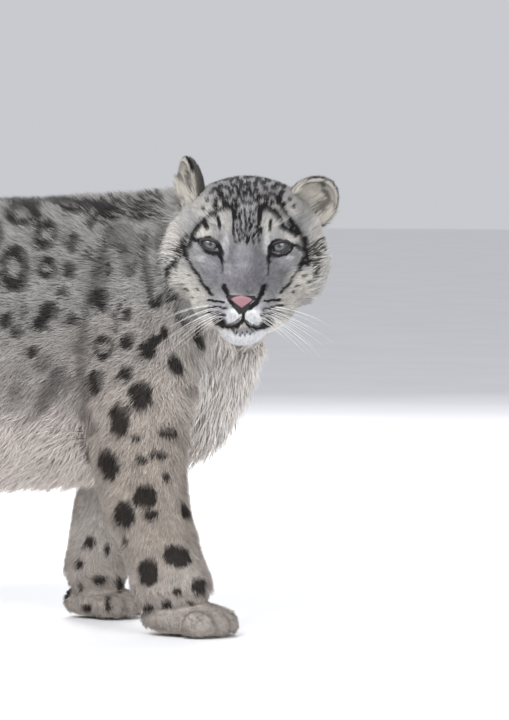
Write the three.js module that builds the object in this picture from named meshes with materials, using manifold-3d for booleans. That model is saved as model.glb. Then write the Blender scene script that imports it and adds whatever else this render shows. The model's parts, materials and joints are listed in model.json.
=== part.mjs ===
// A snow leopard at life size, walking pose held still, with its head turned to its own right.
// Millimetres. X runs forward along the body, Y to the animal's left, Z up, floor at Z = 0.
import * as THREE from 'three';
import { mergeVertices } from 'three/addons/utils/BufferGeometryUtils.js';
import Module from 'manifold-3d';

const wasm = await Module();
wasm.setup();

// Driving dimensions
const WITHERS_HEIGHT = 557; // floor to the top of the coat over the shoulders
const WRIST_HEIGHT = 62; // where each paw parts from its leg
const SOLE_DEPTH = 5; // how much of the round sole is flattened by the floor
const PART_GAP = 0.3; // clear space between touching parts
const HEAD_ROOM = 2.8; // the neck's and shoulders' clear space round the head
const EYE_RADIUS = 15.5;
const LID_THICKNESS = 2.6;
const HEAD_YAW = -70; // degrees from the body's forward direction, to the animal's right
const HEAD_ROLL = 1.6; // degrees, crown towards the animal's left
const HEAD_CENTRE = [161, -70, WITHERS_HEIGHT - 77];
const NECK_CUT = { at: [96, 0, 400], normal: [0.94, 0, 0.34] };

// Trunk: where the coat's surface lies over the back, under the belly and out to each flank.
// shag is the depth of the long hanging coat below, which the locks fill from half way out.
const TRUNK = [
  { x: -612, top: 474, bottom: 424, wide: 22, shag: 20 },
  { x: -596, top: 500, bottom: 384, wide: 62, shag: 30 },
  { x: -560, top: 524, bottom: 322, wide: 92, shag: 40 },
  { x: -500, top: 542, bottom: 268, wide: 108, shag: 50 },
  { x: -420, top: 550, bottom: 224, wide: 118, shag: 64 },
  { x: -330, top: 549, bottom: 190, wide: 127, shag: 76 },
  { x: -240, top: 547, bottom: 170, wide: 137, shag: 84 },
  { x: -150, top: 549, bottom: 168, wide: 140, shag: 80 },
  { x: -70, top: 554, bottom: 180, wide: 132, shag: 60 },
  { x: 0, top: WITHERS_HEIGHT, bottom: 196, wide: 118, shag: 44 },
  { x: 48, top: 556, bottom: 206, wide: 108, shag: 40 },
  { x: 84, top: 548, bottom: 238, wide: 94, shag: 40 },
  { x: 112, top: 534, bottom: 288, wide: 72, shag: 40 },
  { x: 132, top: 505, bottom: 346, wide: 42, shag: 30 },
];
// Shoulders and haunches swell out of the trunk, the neck rises from it.
const SWELLS = [
  { at: [16, -90, 352], size: [88, 58, 142] },
  { at: [-14, 90, 352], size: [86, 58, 142] },
  { at: [-492, -84, 354], size: [106, 58, 136] },
  { at: [-472, 84, 354], size: [106, 58, 136] },
];
const NECK_MASSES = [
  { at: [66, -2, 432], size: [92, 98, 118] },
  { at: [120, -30, 446], size: [80, 84, 96] },
];
const TRUNK_BLEND = 44;
const NECK_MIDDLE = [104, -10, 425]; // every point of the neck's surface is seen from here

// Legs, as level sections: height, middle, half size fore and aft, half size across.
const LEGS = {
  foreleg_right: [
    { z: 430, x: 16, y: -78, deep: 44, wide: 24 },
    { z: 400, x: 20, y: -92, deep: 68, wide: 36 },
    { z: 350, x: 25, y: -96, deep: 76, wide: 42 },
    { z: 292, x: 30, y: -105, deep: 73, wide: 46 },
    { z: 225, x: 30, y: -104, deep: 65, wide: 45 },
    { z: 160, x: 37, y: -98, deep: 60, wide: 44 },
    { z: 112, x: 53, y: -94, deep: 55, wide: 43 },
    { z: 58, x: 69, y: -91, deep: 52, wide: 43 },
  ],
  foreleg_left: [
    { z: 430, x: -8, y: 78, deep: 44, wide: 24 },
    { z: 400, x: -8, y: 92, deep: 66, wide: 36 },
    { z: 350, x: -14, y: 96, deep: 74, wide: 42 },
    { z: 292, x: -36, y: 104, deep: 68, wide: 45 },
    { z: 225, x: -68, y: 102, deep: 57, wide: 43 },
    { z: 160, x: -94, y: 92, deep: 49, wide: 41 },
    { z: 112, x: -106, y: 86, deep: 44, wide: 39 },
    { z: 58, x: -111, y: 81, deep: 42, wide: 39 },
  ],
  hindleg_right: [
    { z: 420, x: -496, y: -72, deep: 60, wide: 24 },
    { z: 390, x: -492, y: -86, deep: 84, wide: 38 },
    { z: 340, x: -484, y: -92, deep: 88, wide: 44 },
    { z: 285, x: -486, y: -98, deep: 78, wide: 44 },
    { z: 232, x: -520, y: -100, deep: 60, wide: 41 },
    { z: 184, x: -566, y: -95, deep: 49, wide: 36 },
    { z: 145, x: -592, y: -90, deep: 41, wide: 33 },
    { z: 100, x: -590, y: -87, deep: 37, wide: 34 },
    { z: 58, x: -577, y: -85, deep: 38, wide: 36 },
  ],
  hindleg_left: [
    { z: 420, x: -484, y: 72, deep: 60, wide: 24 },
    { z: 390, x: -478, y: 86, deep: 84, wide: 38 },
    { z: 340, x: -462, y: 92, deep: 88, wide: 44 },
    { z: 285, x: -444, y: 98, deep: 78, wide: 44 },
    { z: 232, x: -450, y: 100, deep: 61, wide: 41 },
    { z: 184, x: -474, y: 95, deep: 49, wide: 36 },
    { z: 145, x: -490, y: 90, deep: 41, wide: 33 },
    { z: 100, x: -482, y: 87, deep: 37, wide: 34 },
    { z: 58, x: -468, y: 85, deep: 38, wide: 36 },
  ],
};

// Paws: the middle of the sole, the pad's half length and half width, and how far they point outwards.
const PAWS = {
  forepaw_right: { leg: 'foreleg_right', at: [92, -90], long: 60, wide: 46, turn: -4 },
  forepaw_left: { leg: 'foreleg_left', at: [-100, 80], long: 50, wide: 43, turn: 4 },
  hindpaw_right: { leg: 'hindleg_right', at: [-552, -86], long: 52, wide: 40, turn: -5 },
  hindpaw_left: { leg: 'hindleg_left', at: [-440, 86], long: 52, wide: 40, turn: 5 },
};
const TOES = 4;
const TOE_RADIUS = 17;

// Tail: centre line and half thickness out to the tips of its coat.
const TAIL = [
  { at: [-560, 0, 478], thick: 44 },
  { at: [-618, 0, 460], thick: 46 },
  { at: [-686, -6, 388], thick: 48 },
  { at: [-742, -10, 294], thick: 50 },
  { at: [-804, -10, 200], thick: 53 },
  { at: [-884, -6, 128], thick: 55 },
  { at: [-984, 6, 100], thick: 56 },
  { at: [-1084, 24, 114], thick: 55 },
  { at: [-1166, 42, 160], thick: 50 },
  { at: [-1216, 54, 212], thick: 38 },
  { at: [-1234, 58, 240], thick: 16 },
];
const TAIL_CUTS = [0.36, 0.66];

// Head, in its own frame: X out of the face, Y to the animal's left, Z to the crown.
const HEAD_MASSES = [
  { at: [-18, 0, 26], size: [84, 88, 69] }, // cranium
  { at: [38, 34, 26], size: [30, 32, 24], pair: true }, // brow
  { at: [38, 38, 0], size: [24, 32, 34], pair: true }, // around the eye
  { at: [56, 0, -2], size: [26, 25, 30] }, // between the eyes
  { at: [82, 0, -30], size: [27, 22, 25] }, // bridge of the nose
  { at: [105, 0, -50], size: [21, 20, 15] }, // tip of the nose
  { at: [62, 26, -32], size: [28, 26, 28], pair: true }, // beside the nose
  { at: [30, 48, -28], size: [36, 38, 36], pair: true }, // cheek
  { at: [48, 36, -58], size: [38, 30, 30], pair: true }, // jaw, behind the lips' corners
  { at: [-6, 57, -12], size: [52, 47, 61], pair: true }, // ruff at the jaw's corner
  { at: [78, 0, -62], size: [36, 42, 28] }, // muzzle
  { at: [96, 20, -70], size: [23, 22, 20], pair: true }, // whisker pads
  { at: [82, 0, -94], size: [26, 29, 21] }, // chin
  { at: [16, 0, -64], size: [70, 60, 44] }, // throat
];
const HEAD_BLEND = 16;
const HEAD_MIDDLE = [22, 0, -20]; // every point of the head's surface is seen from here
const EYE = { at: [51, 42, 8], slant: 18, long: 14, high: 7.6, reach: 30 };
const NOSTRIL = { at: [125, 14.5, -56], size: [12, 2.6, 9], lean: 42 };
const MOUTH_LINE = [
  [84, 44, -74],
  [96, 38, -82],
  [108, 24, -91],
  [116, 10, -88],
  [119, 0, -81],
];
const MOUTH_RADIUS = 2.2;

// Ears, in the head's frame: root, direction of the tip, and where the cup opens.
const EARS = {
  ear_right: { at: [-14, -71, 60], tip: [-0.12, -0.16, 1], opens: [0.36, -0.93, -0.06], wide: 29 },
  ear_left: { at: [-12, 66, 48], tip: [0.02, 0.68, 0.73], opens: [0.95, 0.24, -0.2], wide: 32 },
};
const EAR_SIZE = { high: 56, thick: 16, cup: 12.5 };

// Locks: the long coat stands off its core in flat tapered strips.
const LOCK_SINK = 12; // root below the core's surface
const LOCK_CLEARANCE = 4; // kept between a lock and any other part
const TAIL_COAT = 24; // depth of the tail's coat; the core reaches half way out
const BELLY_TURNS = [-62, -32, 0, 32, 62]; // degrees from straight below
const CHEST_ROWS = [232, 262, 292, 322];
const THROAT_ROWS = [352, 374];
const BREECH_ROWS = [318, 350, 382];
const CHEEK_TURNS = [84, 100, 116, 132, 148];

const coat = { name: 'coat', color: 0xb9b4ab, roughness: 0.9, metalness: 0 };
const earFur = { name: 'ear_fur', color: 0xc4c0b8, roughness: 0.9, metalness: 0 };
const eyeball = { name: 'eye', color: 0x6f736a, roughness: 0.12, metalness: 0 };

function vector(list) {
  return new THREE.Vector3(...list);
}

// A closed three.js geometry as a solid that can be joined and cut.
function solid(geometry) {
  const bare = geometry.clone();
  for (const name of Object.keys(bare.attributes)) {
    if (name !== 'position') bare.deleteAttribute(name);
  }
  const merged = mergeVertices(bare, 1e-4);
  const triVerts = new Uint32Array(merged.index.array);
  const vertProperties = merged.attributes.position.array;
  return new wasm.Manifold(new wasm.Mesh({ numProp: 3, vertProperties, triVerts }));
}

let seed = 20;
function vary(low, high) {
  seed = (seed * 16807) % 2147483647;
  return low + ((high - low) * seed) / 2147483647;
}

// The solid's largest closed body, as a geometry.
function geometryOf(made) {
  const bodies = made.decompose();
  bodies.sort((a, b) => b.volume() - a.volume());
  const mesh = bodies[0].getMesh();
  const geometry = new THREE.BufferGeometry();
  const points = new Float32Array(mesh.numVert * 3);
  for (let i = 0; i < mesh.numVert; i += 1) {
    points.set(mesh.vertProperties.subarray(i * mesh.numProp, i * mesh.numProp + 3), i * 3);
  }
  geometry.setAttribute('position', new THREE.BufferAttribute(points, 3));
  geometry.setIndex(new THREE.BufferAttribute(mesh.triVerts, 1));
  geometry.computeVertexNormals();
  return geometry;
}

// Joins rings of points into one closed body, each end drawn together at its middle.
function loft(rings) {
  const sides = rings[0].length;
  const points = rings.flat();
  const ends = [rings[0], rings[rings.length - 1]].map((ring) => {
    const middle = new THREE.Vector3();
    ring.forEach((p) => middle.add(p));
    return middle.divideScalar(sides);
  });
  points.push(...ends);
  const index = [];
  const last = (rings.length - 1) * sides;
  for (let j = 0; j < sides; j += 1) {
    const k = (j + 1) % sides;
    for (let i = 0; i < rings.length - 1; i += 1) {
      const near = i * sides;
      const far = near + sides;
      index.push(near + j, far + j, far + k, near + j, far + k, near + k);
    }
    index.push(points.length - 2, j, k, points.length - 1, last + k, last + j);
  }
  const geometry = new THREE.BufferGeometry().setFromPoints(points);
  geometry.setIndex(index);
  const made = solid(geometry);
  if (made.volume() > 0) return made;
  geometry.setIndex(index.reverse());
  return solid(geometry);
}

// A body swept along a smooth centre line, with a round section that changes from station to station.
function sweep(stations, rings, sides, grow = 0) {
  const path = new THREE.CatmullRomCurve3(stations.map((s) => vector(s.at)));
  const sizes = new THREE.CatmullRomCurve3(stations.map((s) => new THREE.Vector3(s.thick, 0, 0)));
  const made = [];
  for (let i = 0; i <= rings; i += 1) {
    const middle = path.getPoint(i / rings);
    const along = path.getTangent(i / rings);
    const across = new THREE.Vector3(0, 1, 0).addScaledVector(along, -along.y).normalize();
    const up = new THREE.Vector3().crossVectors(along, across);
    const radius = sizes.getPoint(i / rings).x + grow;
    const ring = [];
    for (let j = 0; j < sides; j += 1) {
      const a = (j / sides) * 2 * Math.PI;
      const point = middle.clone().addScaledVector(up, radius * Math.cos(a));
      ring.push(point.addScaledVector(across, radius * Math.sin(a)));
    }
    made.push(ring);
  }
  return loft(made);
}

// A table's values at a place between its stations, on a smooth curve through them.
function between(table, key, place) {
  const rising = table[0][key] < table.at(-1)[key];
  const rows = rising ? table : [...table].reverse();
  const v = THREE.MathUtils.clamp(place, rows[0][key], rows.at(-1)[key]);
  let i = 0;
  while (i < rows.length - 2 && rows[i + 1][key] < v) i += 1;
  const four = [rows[Math.max(i - 1, 0)], rows[i], rows[i + 1], rows[Math.min(i + 2, rows.length - 1)]];
  const span = four[2][key] - four[1][key];
  const t = (v - four[1][key]) / span;
  const made = {};
  for (const name of Object.keys(rows[0])) {
    const [y0, y1, y2, y3] = four.map((row) => row[name]);
    const m1 = ((y2 - y0) / (four[2][key] - four[0][key])) * span;
    const m2 = ((y3 - y1) / (four[3][key] - four[1][key])) * span;
    const bend = (2 * (y1 - y2) + m1 + m2) * t + 3 * (y2 - y1) - 2 * m1 - m2;
    made[name] = y1 + t * (m1 + t * bend);
  }
  return made;
}

// Distance outside a flat oval, nearly, and negative inside.
function ovalDistance(x, y, a, b) {
  const near = Math.hypot(x / a, y / b);
  const slope = Math.hypot(x / (a * a), y / (b * b));
  return slope > 1e-9 ? (near * (near - 1)) / slope : -Math.min(a, b);
}

// Distance of a point outside an ellipsoid, nearly, and negative inside.
function ellipsoidDistance(p, mass) {
  const [x, y, z] = mass.at.map((c, i) => p[i] - c);
  const [a, b, c] = mass.size;
  const near = Math.hypot(x / a, y / b, z / c);
  const slope = Math.hypot(x / (a * a), y / (b * b), z / (c * c));
  return slope > 0 ? (near * (near - 1)) / slope : -Math.min(a, b, c);
}

function blend(a, b, width) {
  const h = Math.max(width - Math.abs(a - b), 0) / width;
  return Math.min(a, b) - (h * h * width) / 4;
}

// Distance of a point outside masses that flow into one another.
function flesh(masses, width, p) {
  let d = 1e3;
  for (const mass of masses) {
    d = blend(d, ellipsoidDistance(p, mass), width);
    if (mass.pair) {
      d = blend(d, ellipsoidDistance([p[0], -p[1], p[2]], mass), width);
    }
  }
  return d;
}

// How far a ray from inside a field runs before it leaves the field.
function leaving(field, from, ray, reach) {
  const at = (r) => from.map((c, k) => c + ray[k] * r);
  let inner = 0;
  let outer = 6;
  while (outer < reach && field(at(outer)) < 0) {
    inner = outer;
    outer += 6;
  }
  for (let n = 0; n < 14; n += 1) {
    const half = (inner + outer) / 2;
    if (field(at(half)) < 0) inner = half;
    else outer = half;
  }
  return vector(at(inner));
}

// A closed body found by looking out from its middle until the field is left. The poles lie on axis X.
function seenFrom(middle, field, rows, columns, reach, crowd = 1) {
  const rings = [];
  for (let i = 0; i <= rows; i += 1) {
    const polar = Math.PI * ((i + 0.5) / (rows + 1)) ** crowd;
    const ring = [];
    for (let j = 0; j < columns; j += 1) {
      const a = (j / columns) * 2 * Math.PI;
      const ray = [
        Math.cos(polar),
        Math.sin(polar) * Math.sin(a),
        Math.sin(polar) * Math.cos(a),
      ];
      ring.push(leaving(field, middle, ray, reach));
    }
    rings.push(ring);
  }
  return loft(rings);
}

// One lock: it leaves the core at a point of its surface, lifts and bends to the lie of the coat.
function lock({ root, out, lie, long, lift, wide }) {
  const down = lie.clone().addScaledVector(out, -lie.dot(out)).normalize();
  const across = new THREE.Vector3().crossVectors(down, out);
  const line = [];
  const rings = [];
  for (const [share, size] of [[0, 0.8], [0.32, 1], [0.68, 0.68], [1, 0.06]]) {
    const rise = (LOCK_SINK + lift) * (1 - (1 - share) ** 2) - LOCK_SINK;
    const middle = root.clone().addScaledVector(out, rise).addScaledVector(down, long * share);
    const half = wide * size;
    line.push([middle, half]);
    rings.push([[1, -0.2], [0, 0.35], [-1, -0.2]].map(([a, b]) => (
      middle.clone().addScaledVector(across, a * half).addScaledVector(out, b * half)
    )));
  }
  return { line, made: () => loft(rings) };
}

// Joins to a core those of its locks that stay clear of the other parts.
function withLocks(core, locks, isClear) {
  let made = core;
  for (const plan of locks) {
    const one = lock(plan);
    if (one.line.slice(1).every(([p, half]) => isClear(p.toArray(), half + LOCK_CLEARANCE))) {
      made = made.add(one.made());
    }
  }
  return made;
}

function ball(radii, at, across = 12, down = 8) {
  const geometry = new THREE.SphereGeometry(1, across, down);
  geometry.scale(...radii);
  geometry.translate(...at);
  return geometry;
}

function trimmed(made, cut, keepFront) {
  const normal = vector(cut.normal).normalize().multiplyScalar(keepFront ? 1 : -1);
  const offset = normal.dot(vector(cut.at)) + PART_GAP / 2;
  return made.trimByPlane(normal.toArray(), offset);
}

// Trunk and neck
function trunkDistance(p) {
  const { top, wide, ...low } = between(TRUNK, 'x', p[0]);
  const bottom = low.bottom + low.shag / 2;
  const d = ovalDistance(p[1], p[2] - (top + bottom) / 2, wide, (top - bottom) / 2);
  const beyond = Math.max(TRUNK[0].x - p[0], p[0] - TRUNK.at(-1).x, 0);
  return beyond > 0 ? Math.hypot(Math.max(d, 0), beyond) : d;
}

function bodyDistance(p) {
  let d = trunkDistance(p);
  for (const mass of [...SWELLS, ...NECK_MASSES]) d = blend(d, ellipsoidDistance(p, mass), TRUNK_BLEND);
  return d;
}

function trunkBody(grow = 0, rings = 27, sides = 24) {
  const made = [];
  const [from, to] = [TRUNK[0].x, 150]; // the neck's cut passes before this end
  for (let i = 0; i <= rings; i += 1) {
    const even = i / rings;
    const crowded = 0.5 - 0.5 * Math.cos(Math.PI * even);
    const x = THREE.MathUtils.lerp(from, to, (even + crowded) / 2);
    const { top, bottom } = between(TRUNK, 'x', x);
    const ring = [];
    for (let j = 0; j < sides; j += 1) {
      const a = (j / sides) * 2 * Math.PI;
      const ray = [0, Math.sin(a), Math.cos(a)];
      ring.push(leaving((p) => bodyDistance(p) - grow, [x, 0, (top + bottom) / 2], ray, 300));
    }
    made.push(ring);
  }
  return loft(made);
}

function neckBody(grow = 0) {
  return seenFrom(NECK_MIDDLE, (p) => bodyDistance(p) - grow, 16, 24, 190);
}

function bodyLock(from, ray, lie, size) {
  const out = vector(ray).normalize();
  const root = leaving(bodyDistance, from, out.toArray(), 300);
  return { root, out, lie: vector(lie).normalize(), ...size };
}

// The fringe under the belly, the breast and the breeches behind the thighs.
function trunkLocks() {
  const locks = [];
  for (const turn of BELLY_TURNS) {
    const shift = vary(-24, 0);
    for (let x = -556 + shift; x < 60; x += 48) {
      const { top, bottom, shag } = between(TRUNK, 'x', x);
      const a = THREE.MathUtils.degToRad(turn + vary(-5, 5));
      const from = [x + vary(-8, 8), 0, (top + bottom) / 2];
      const drop = (shag / 2) * vary(0.85, 1.05) * Math.cos(a * 0.9);
      const size = { long: vary(68, 88), lift: drop, wide: vary(15, 20) };
      locks.push(bodyLock(from, [0, Math.sin(a), -Math.cos(a)], [-0.7, 0, -0.7], size));
    }
  }
  for (const z of CHEST_ROWS) {
    for (const turn of [-36, 2, 38]) {
      const a = THREE.MathUtils.degToRad(turn + vary(-5, 5));
      const size = { long: vary(48, 58), lift: vary(7, 10), wide: vary(14, 18) };
      locks.push(bodyLock([52, 0, z], [Math.cos(a), Math.sin(a), -0.1], [0.1, 0, -1], size));
    }
  }
  for (const z of BREECH_ROWS) {
    for (const side of [-1, 1]) {
      const size = { long: vary(48, 58), lift: vary(7, 10), wide: vary(14, 18) };
      locks.push(bodyLock([-500, 70 * side, z + vary(-6, 6)], [-1, 0.3 * side, 0], [-0.2, 0, -1], size));
    }
  }
  return locks;
}

function throatLocks() {
  const locks = [];
  for (const z of THROAT_ROWS) {
    for (const turn of [-48, -16, 16, 48]) {
      const a = THREE.MathUtils.degToRad(turn + vary(-5, 5));
      const size = { long: vary(28, 36), lift: vary(5, 7), wide: vary(12, 15) };
      locks.push(bodyLock([70, 0, z], [Math.cos(a), Math.sin(a), -0.2], [0.2, 0, -1], size));
    }
  }
  return locks;
}

// Legs
function legBody(name, rings = 14, sides = 12) {
  const table = LEGS[name];
  const made = [];
  for (let i = 0; i <= rings; i += 1) {
    const z = THREE.MathUtils.lerp(table[0].z, table.at(-1).z, i / rings);
    const { x, y, deep, wide } = between(table, 'z', z);
    const ring = [];
    for (let j = 0; j < sides; j += 1) {
      const a = (j / sides) * 2 * Math.PI;
      ring.push(new THREE.Vector3(x + deep * Math.cos(a), y + wide * Math.sin(a), z));
    }
    made.push(ring);
  }
  return loft(made);
}

function legDistance(p, name) {
  const { x, y, deep, wide, z } = between(LEGS[name], 'z', p[2]);
  return Math.hypot(Math.max(ovalDistance(p[0] - x, p[1] - y, deep, wide), 0), p[2] - z);
}

// Long hair down the back of each leg.
function legLocks(name) {
  const locks = [];
  const side = Math.sign(LEGS[name][0].y);
  const highest = name.startsWith('fore') ? 270 : 300;
  for (let z = 126; z < highest; z += 32) {
    const { x, y, deep } = between(LEGS[name], 'z', z);
    const out = new THREE.Vector3(-1, vary(-0.25, 0.25) * side, 0).normalize();
    const root = new THREE.Vector3(x - deep + 2, y + out.y * 20, z);
    const lie = new THREE.Vector3(-0.14, 0, -1).normalize();
    locks.push({ root, out, lie, long: vary(38, 46), lift: vary(4, 6), wide: vary(12, 15) });
  }
  return locks;
}

// A paw: the wrist, the pad and the toes in an arc before it, flat where it bears on the floor.
function pawBody(paw) {
  const { x, y, deep, wide } = between(LEGS[paw.leg], 'z', WRIST_HEIGHT);
  const turn = THREE.MathUtils.degToRad(paw.turn);
  const place = (forward, left, height) => [
    paw.at[0] + forward * Math.cos(turn) - left * Math.sin(turn),
    paw.at[1] + forward * Math.sin(turn) + left * Math.cos(turn),
    height - SOLE_DEPTH,
  ];
  const masses = [
    { at: [x, y, WRIST_HEIGHT], size: [deep - 1.5, wide - 1.5, 46] },
    { at: place(-6, 0, 26), size: [paw.long, paw.wide - 4, 27] },
  ];
  for (let i = 0; i < TOES; i += 1) {
    const spread = (i - (TOES - 1) / 2) / ((TOES - 1) / 2);
    const forward = paw.long - 22 - 12 * spread * spread;
    const left = spread * (paw.wide - TOE_RADIUS + 2);
    masses.push({ at: place(forward, left, 21), size: [TOE_RADIUS * 1.5, TOE_RADIUS, 21] });
  }
  const field = (p) => flesh(masses, 7, p);
  const made = seenFrom(place(0, 0, 32), field, 11, 16, 120);
  return made
    .trimByPlane([0, 0, 1], 0)
    .trimByPlane([0, 0, -1], PART_GAP / 2 - WRIST_HEIGHT);
}

// Tail
function tailBody(grow = 0) {
  return sweep(TAIL, 28, 10, grow - TAIL_COAT / 2);
}

function tailLocks(from, to) {
  const path = new THREE.CatmullRomCurve3(TAIL.map((s) => vector(s.at)));
  const sizes = new THREE.CatmullRomCurve3(TAIL.map((s) => new THREE.Vector3(s.thick, 0, 0)));
  const locks = [];
  let turn = 0;
  for (let share = from; share < to; share += 0.023) {
    turn += 1.9;
    const along = path.getTangent(share);
    const across = new THREE.Vector3(0, 1, 0).addScaledVector(along, -along.y).normalize();
    const up = new THREE.Vector3().crossVectors(along, across);
    const out = across.multiplyScalar(Math.sin(turn)).addScaledVector(up, Math.cos(turn));
    const root = path.getPoint(share).addScaledVector(out, sizes.getPoint(share).x - TAIL_COAT / 2 - 1);
    locks.push({ root, out, lie: along, long: vary(56, 68), lift: vary(8, 12), wide: vary(14, 18) });
  }
  return locks;
}

function tailCut(share) {
  const path = new THREE.CatmullRomCurve3(TAIL.map((s) => vector(s.at)));
  return { at: path.getPoint(share).toArray(), normal: path.getTangent(share).toArray() };
}

// Head
const headTurn = new THREE.Matrix4()
  .makeTranslation(...HEAD_CENTRE)
  .multiply(new THREE.Matrix4().makeRotationZ(THREE.MathUtils.degToRad(HEAD_YAW)))
  .multiply(new THREE.Matrix4().makeRotationX(THREE.MathUtils.degToRad(-HEAD_ROLL)));

function headBody(grow, rows = 31, columns = 42) {
  const field = (p) => flesh(HEAD_MASSES, HEAD_BLEND, p) - grow;
  return seenFrom(HEAD_MIDDLE, field, rows, columns, 170, 1.15);
}

function eyePlace(side) {
  return [EYE.at[0], EYE.at[1] * side, EYE.at[2]];
}

// Lids: a thin shell over the eyeball, open in an almond that rises to the outer corner.
function withLids(head) {
  let made = head;
  for (const side of [-1, 1]) {
    const shell = ball(Array(3).fill(EYE_RADIUS + LID_THICKNESS), eyePlace(side), 16, 12);
    const opening = ball([EYE.reach, EYE.long, EYE.high], [0, 0, 0], 10, 10);
    opening.rotateX(THREE.MathUtils.degToRad(EYE.slant * side));
    opening.translate(EYE.at[0] + EYE.reach * 0.75, EYE.at[1] * side, EYE.at[2] - 0.5);
    const socket = ball(Array(3).fill(EYE_RADIUS + PART_GAP), eyePlace(side), 16, 10);
    made = made.add(solid(shell)).subtract(solid(opening)).subtract(solid(socket));
  }
  return made;
}

// The line of the lips is a shallow groove that follows the muzzle's surface.
function mouthGroove() {
  const half = MOUTH_LINE.map(vector);
  const other = half.slice(0, -1).reverse().map((p) => new THREE.Vector3(p.x, -p.y, p.z));
  const path = new THREE.CatmullRomCurve3([...half, ...other]);
  const section = new THREE.Shape();
  section.absarc(0, 0, MOUTH_RADIUS, 0, 2 * Math.PI);
  const options = { steps: 22, curveSegments: 5, bevelEnabled: false, extrudePath: path };
  return solid(new THREE.ExtrudeGeometry(section, options));
}

function nostril(side) {
  const made = ball(NOSTRIL.size, [0, 0, 0], 8, 8);
  made.rotateX(THREE.MathUtils.degToRad(-NOSTRIL.lean * side));
  made.translate(NOSTRIL.at[0], NOSTRIL.at[1] * side, NOSTRIL.at[2]);
  return solid(made);
}

function head() {
  let made = withLids(headBody(0));
  made = made.subtract(mouthGroove());
  for (const side of [-1, 1]) made = made.subtract(nostril(side));
  return withLocks(made, cheekLocks(), (p, half) => {
    const placed = vector(p).applyMatrix4(headTurn).toArray();
    return bodyDistance(placed) > half;
  });
}

// The ruff's long hair, at the sides of the jaw.
function cheekLocks() {
  const locks = [];
  const field = (p) => flesh(HEAD_MASSES, HEAD_BLEND, p);
  for (const side of [-1, 1]) {
    for (const turn of CHEEK_TURNS) {
      const a = THREE.MathUtils.degToRad(turn + vary(-4, 4));
      const out = new THREE.Vector3(-0.12, side * Math.sin(a), Math.cos(a)).normalize();
      const root = leaving(field, [14, 0, -20], out.toArray(), 170);
      const lie = new THREE.Vector3(-0.5, side * 0.3, -0.8).normalize();
      locks.push({ root, out, lie, long: vary(30, 38), lift: vary(4, 7), wide: vary(14, 17) });
    }
  }
  return locks;
}

const headGrown = headBody(PART_GAP);
const neckRoom = neckBody(PART_GAP).transform(headTurn.clone().invert().elements);

// An ear: a rounded shell with a deep cup, its root cut to the head it stands on.
function ear(name) {
  const { at, tip, opens, wide } = EARS[name];
  const { high, thick, cup } = EAR_SIZE;
  const shell = ball([thick, wide, high / 2 + 12], [0, 0, high / 2 - 12], 16, 12);
  const hollow = ball([cup, wide - 5, high / 2 + 4], [cup * 0.72, 0, high / 2 - 10], 14, 10);
  const up = vector(tip).normalize();
  const out = vector(opens);
  out.addScaledVector(up, -out.dot(up)).normalize();
  const across = new THREE.Vector3().crossVectors(up, out);
  const stand = new THREE.Matrix4().makeBasis(out, across, up).setPosition(...at);
  shell.applyMatrix4(stand);
  hollow.applyMatrix4(stand);
  return solid(shell).subtract(solid(hollow)).subtract(headGrown).subtract(neckRoom);
}

function meshOf(name, made, look) {
  const { name: slot, ...finish } = look;
  const material = new THREE.MeshStandardMaterial(finish);
  material.name = slot;
  const mesh = new THREE.Mesh(geometryOf(made), material);
  mesh.name = name;
  return mesh;
}

const leopard = new THREE.Group();
const headGroup = new THREE.Group();
headGroup.applyMatrix4(headTurn);
leopard.add(headGroup);

const headRoom = headBody(HEAD_ROOM, 20, 28).transform(headTurn.elements);
const trunkGrown = trunkBody(PART_GAP);
const cutSide = vector(NECK_CUT.normal).normalize();
const pastCut = (p) => vector(p).sub(vector(NECK_CUT.at)).dot(cutSide);
const legNames = Object.keys(LEGS);
const offLegs = (p, half) => legNames.every((name) => legDistance(p, name) > half);
const offHead = (p, half) => {
  const placed = vector(p).applyMatrix4(headTurn.clone().invert()).toArray();
  return flesh(HEAD_MASSES, HEAD_BLEND, placed) > half + 6;
};
const offTail = (p, half) => Math.abs(p[1]) > 44 + half || p[0] > -540 || p[2] < 340;

const torso = trimmed(trunkBody(), NECK_CUT, false).subtract(headRoom);
leopard.add(meshOf('torso', withLocks(torso, trunkLocks(), (p, half) => (
  offLegs(p, half) && offHead(p, half) && offTail(p, half) && pastCut(p) < -half
)), coat));
const neck = trimmed(neckBody(), NECK_CUT, true).subtract(headRoom);
leopard.add(meshOf('neck', withLocks(neck, throatLocks(), (p, half) => (
  offHead(p, half) && pastCut(p) > half
)), coat));

for (const name of legNames) {
  const made = legBody(name)
    .subtract(trunkGrown)
    .trimByPlane([0, 0, 1], WRIST_HEIGHT + PART_GAP / 2);
  leopard.add(meshOf(name, withLocks(made, legLocks(name), (p, half) => (
    bodyDistance(p) > half + 12 && p[2] > WRIST_HEIGHT + half
  )), coat));
}

for (const [name, paw] of Object.entries(PAWS)) {
  leopard.add(meshOf(name, pawBody(paw), coat));
}

const [upperCut, lowerCut] = TAIL_CUTS.map(tailCut);
const tail = tailBody().subtract(trunkGrown);
const past = (cut, p) => vector(p).sub(vector(cut.at)).dot(vector(cut.normal));
const lengths = [
  ['tail_root', trimmed(tail, upperCut, false), 0.1, TAIL_CUTS[0]],
  ['tail_middle', trimmed(trimmed(tail, upperCut, true), lowerCut, false), ...TAIL_CUTS],
  ['tail_end', trimmed(tail, lowerCut, true), TAIL_CUTS[1], 0.93],
];
for (const [name, made, from, to] of lengths) {
  const isClear = (p, half) => (
    bodyDistance(p) > half
    && (name !== 'tail_root' || past(upperCut, p) < -half / 2)
    && (name !== 'tail_middle' || (past(upperCut, p) > half / 2 && past(lowerCut, p) < -half / 2))
    && (name !== 'tail_end' || past(lowerCut, p) > half / 2)
  );
  leopard.add(meshOf(name, withLocks(made, tailLocks(from, to), isClear), coat));
}

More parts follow.
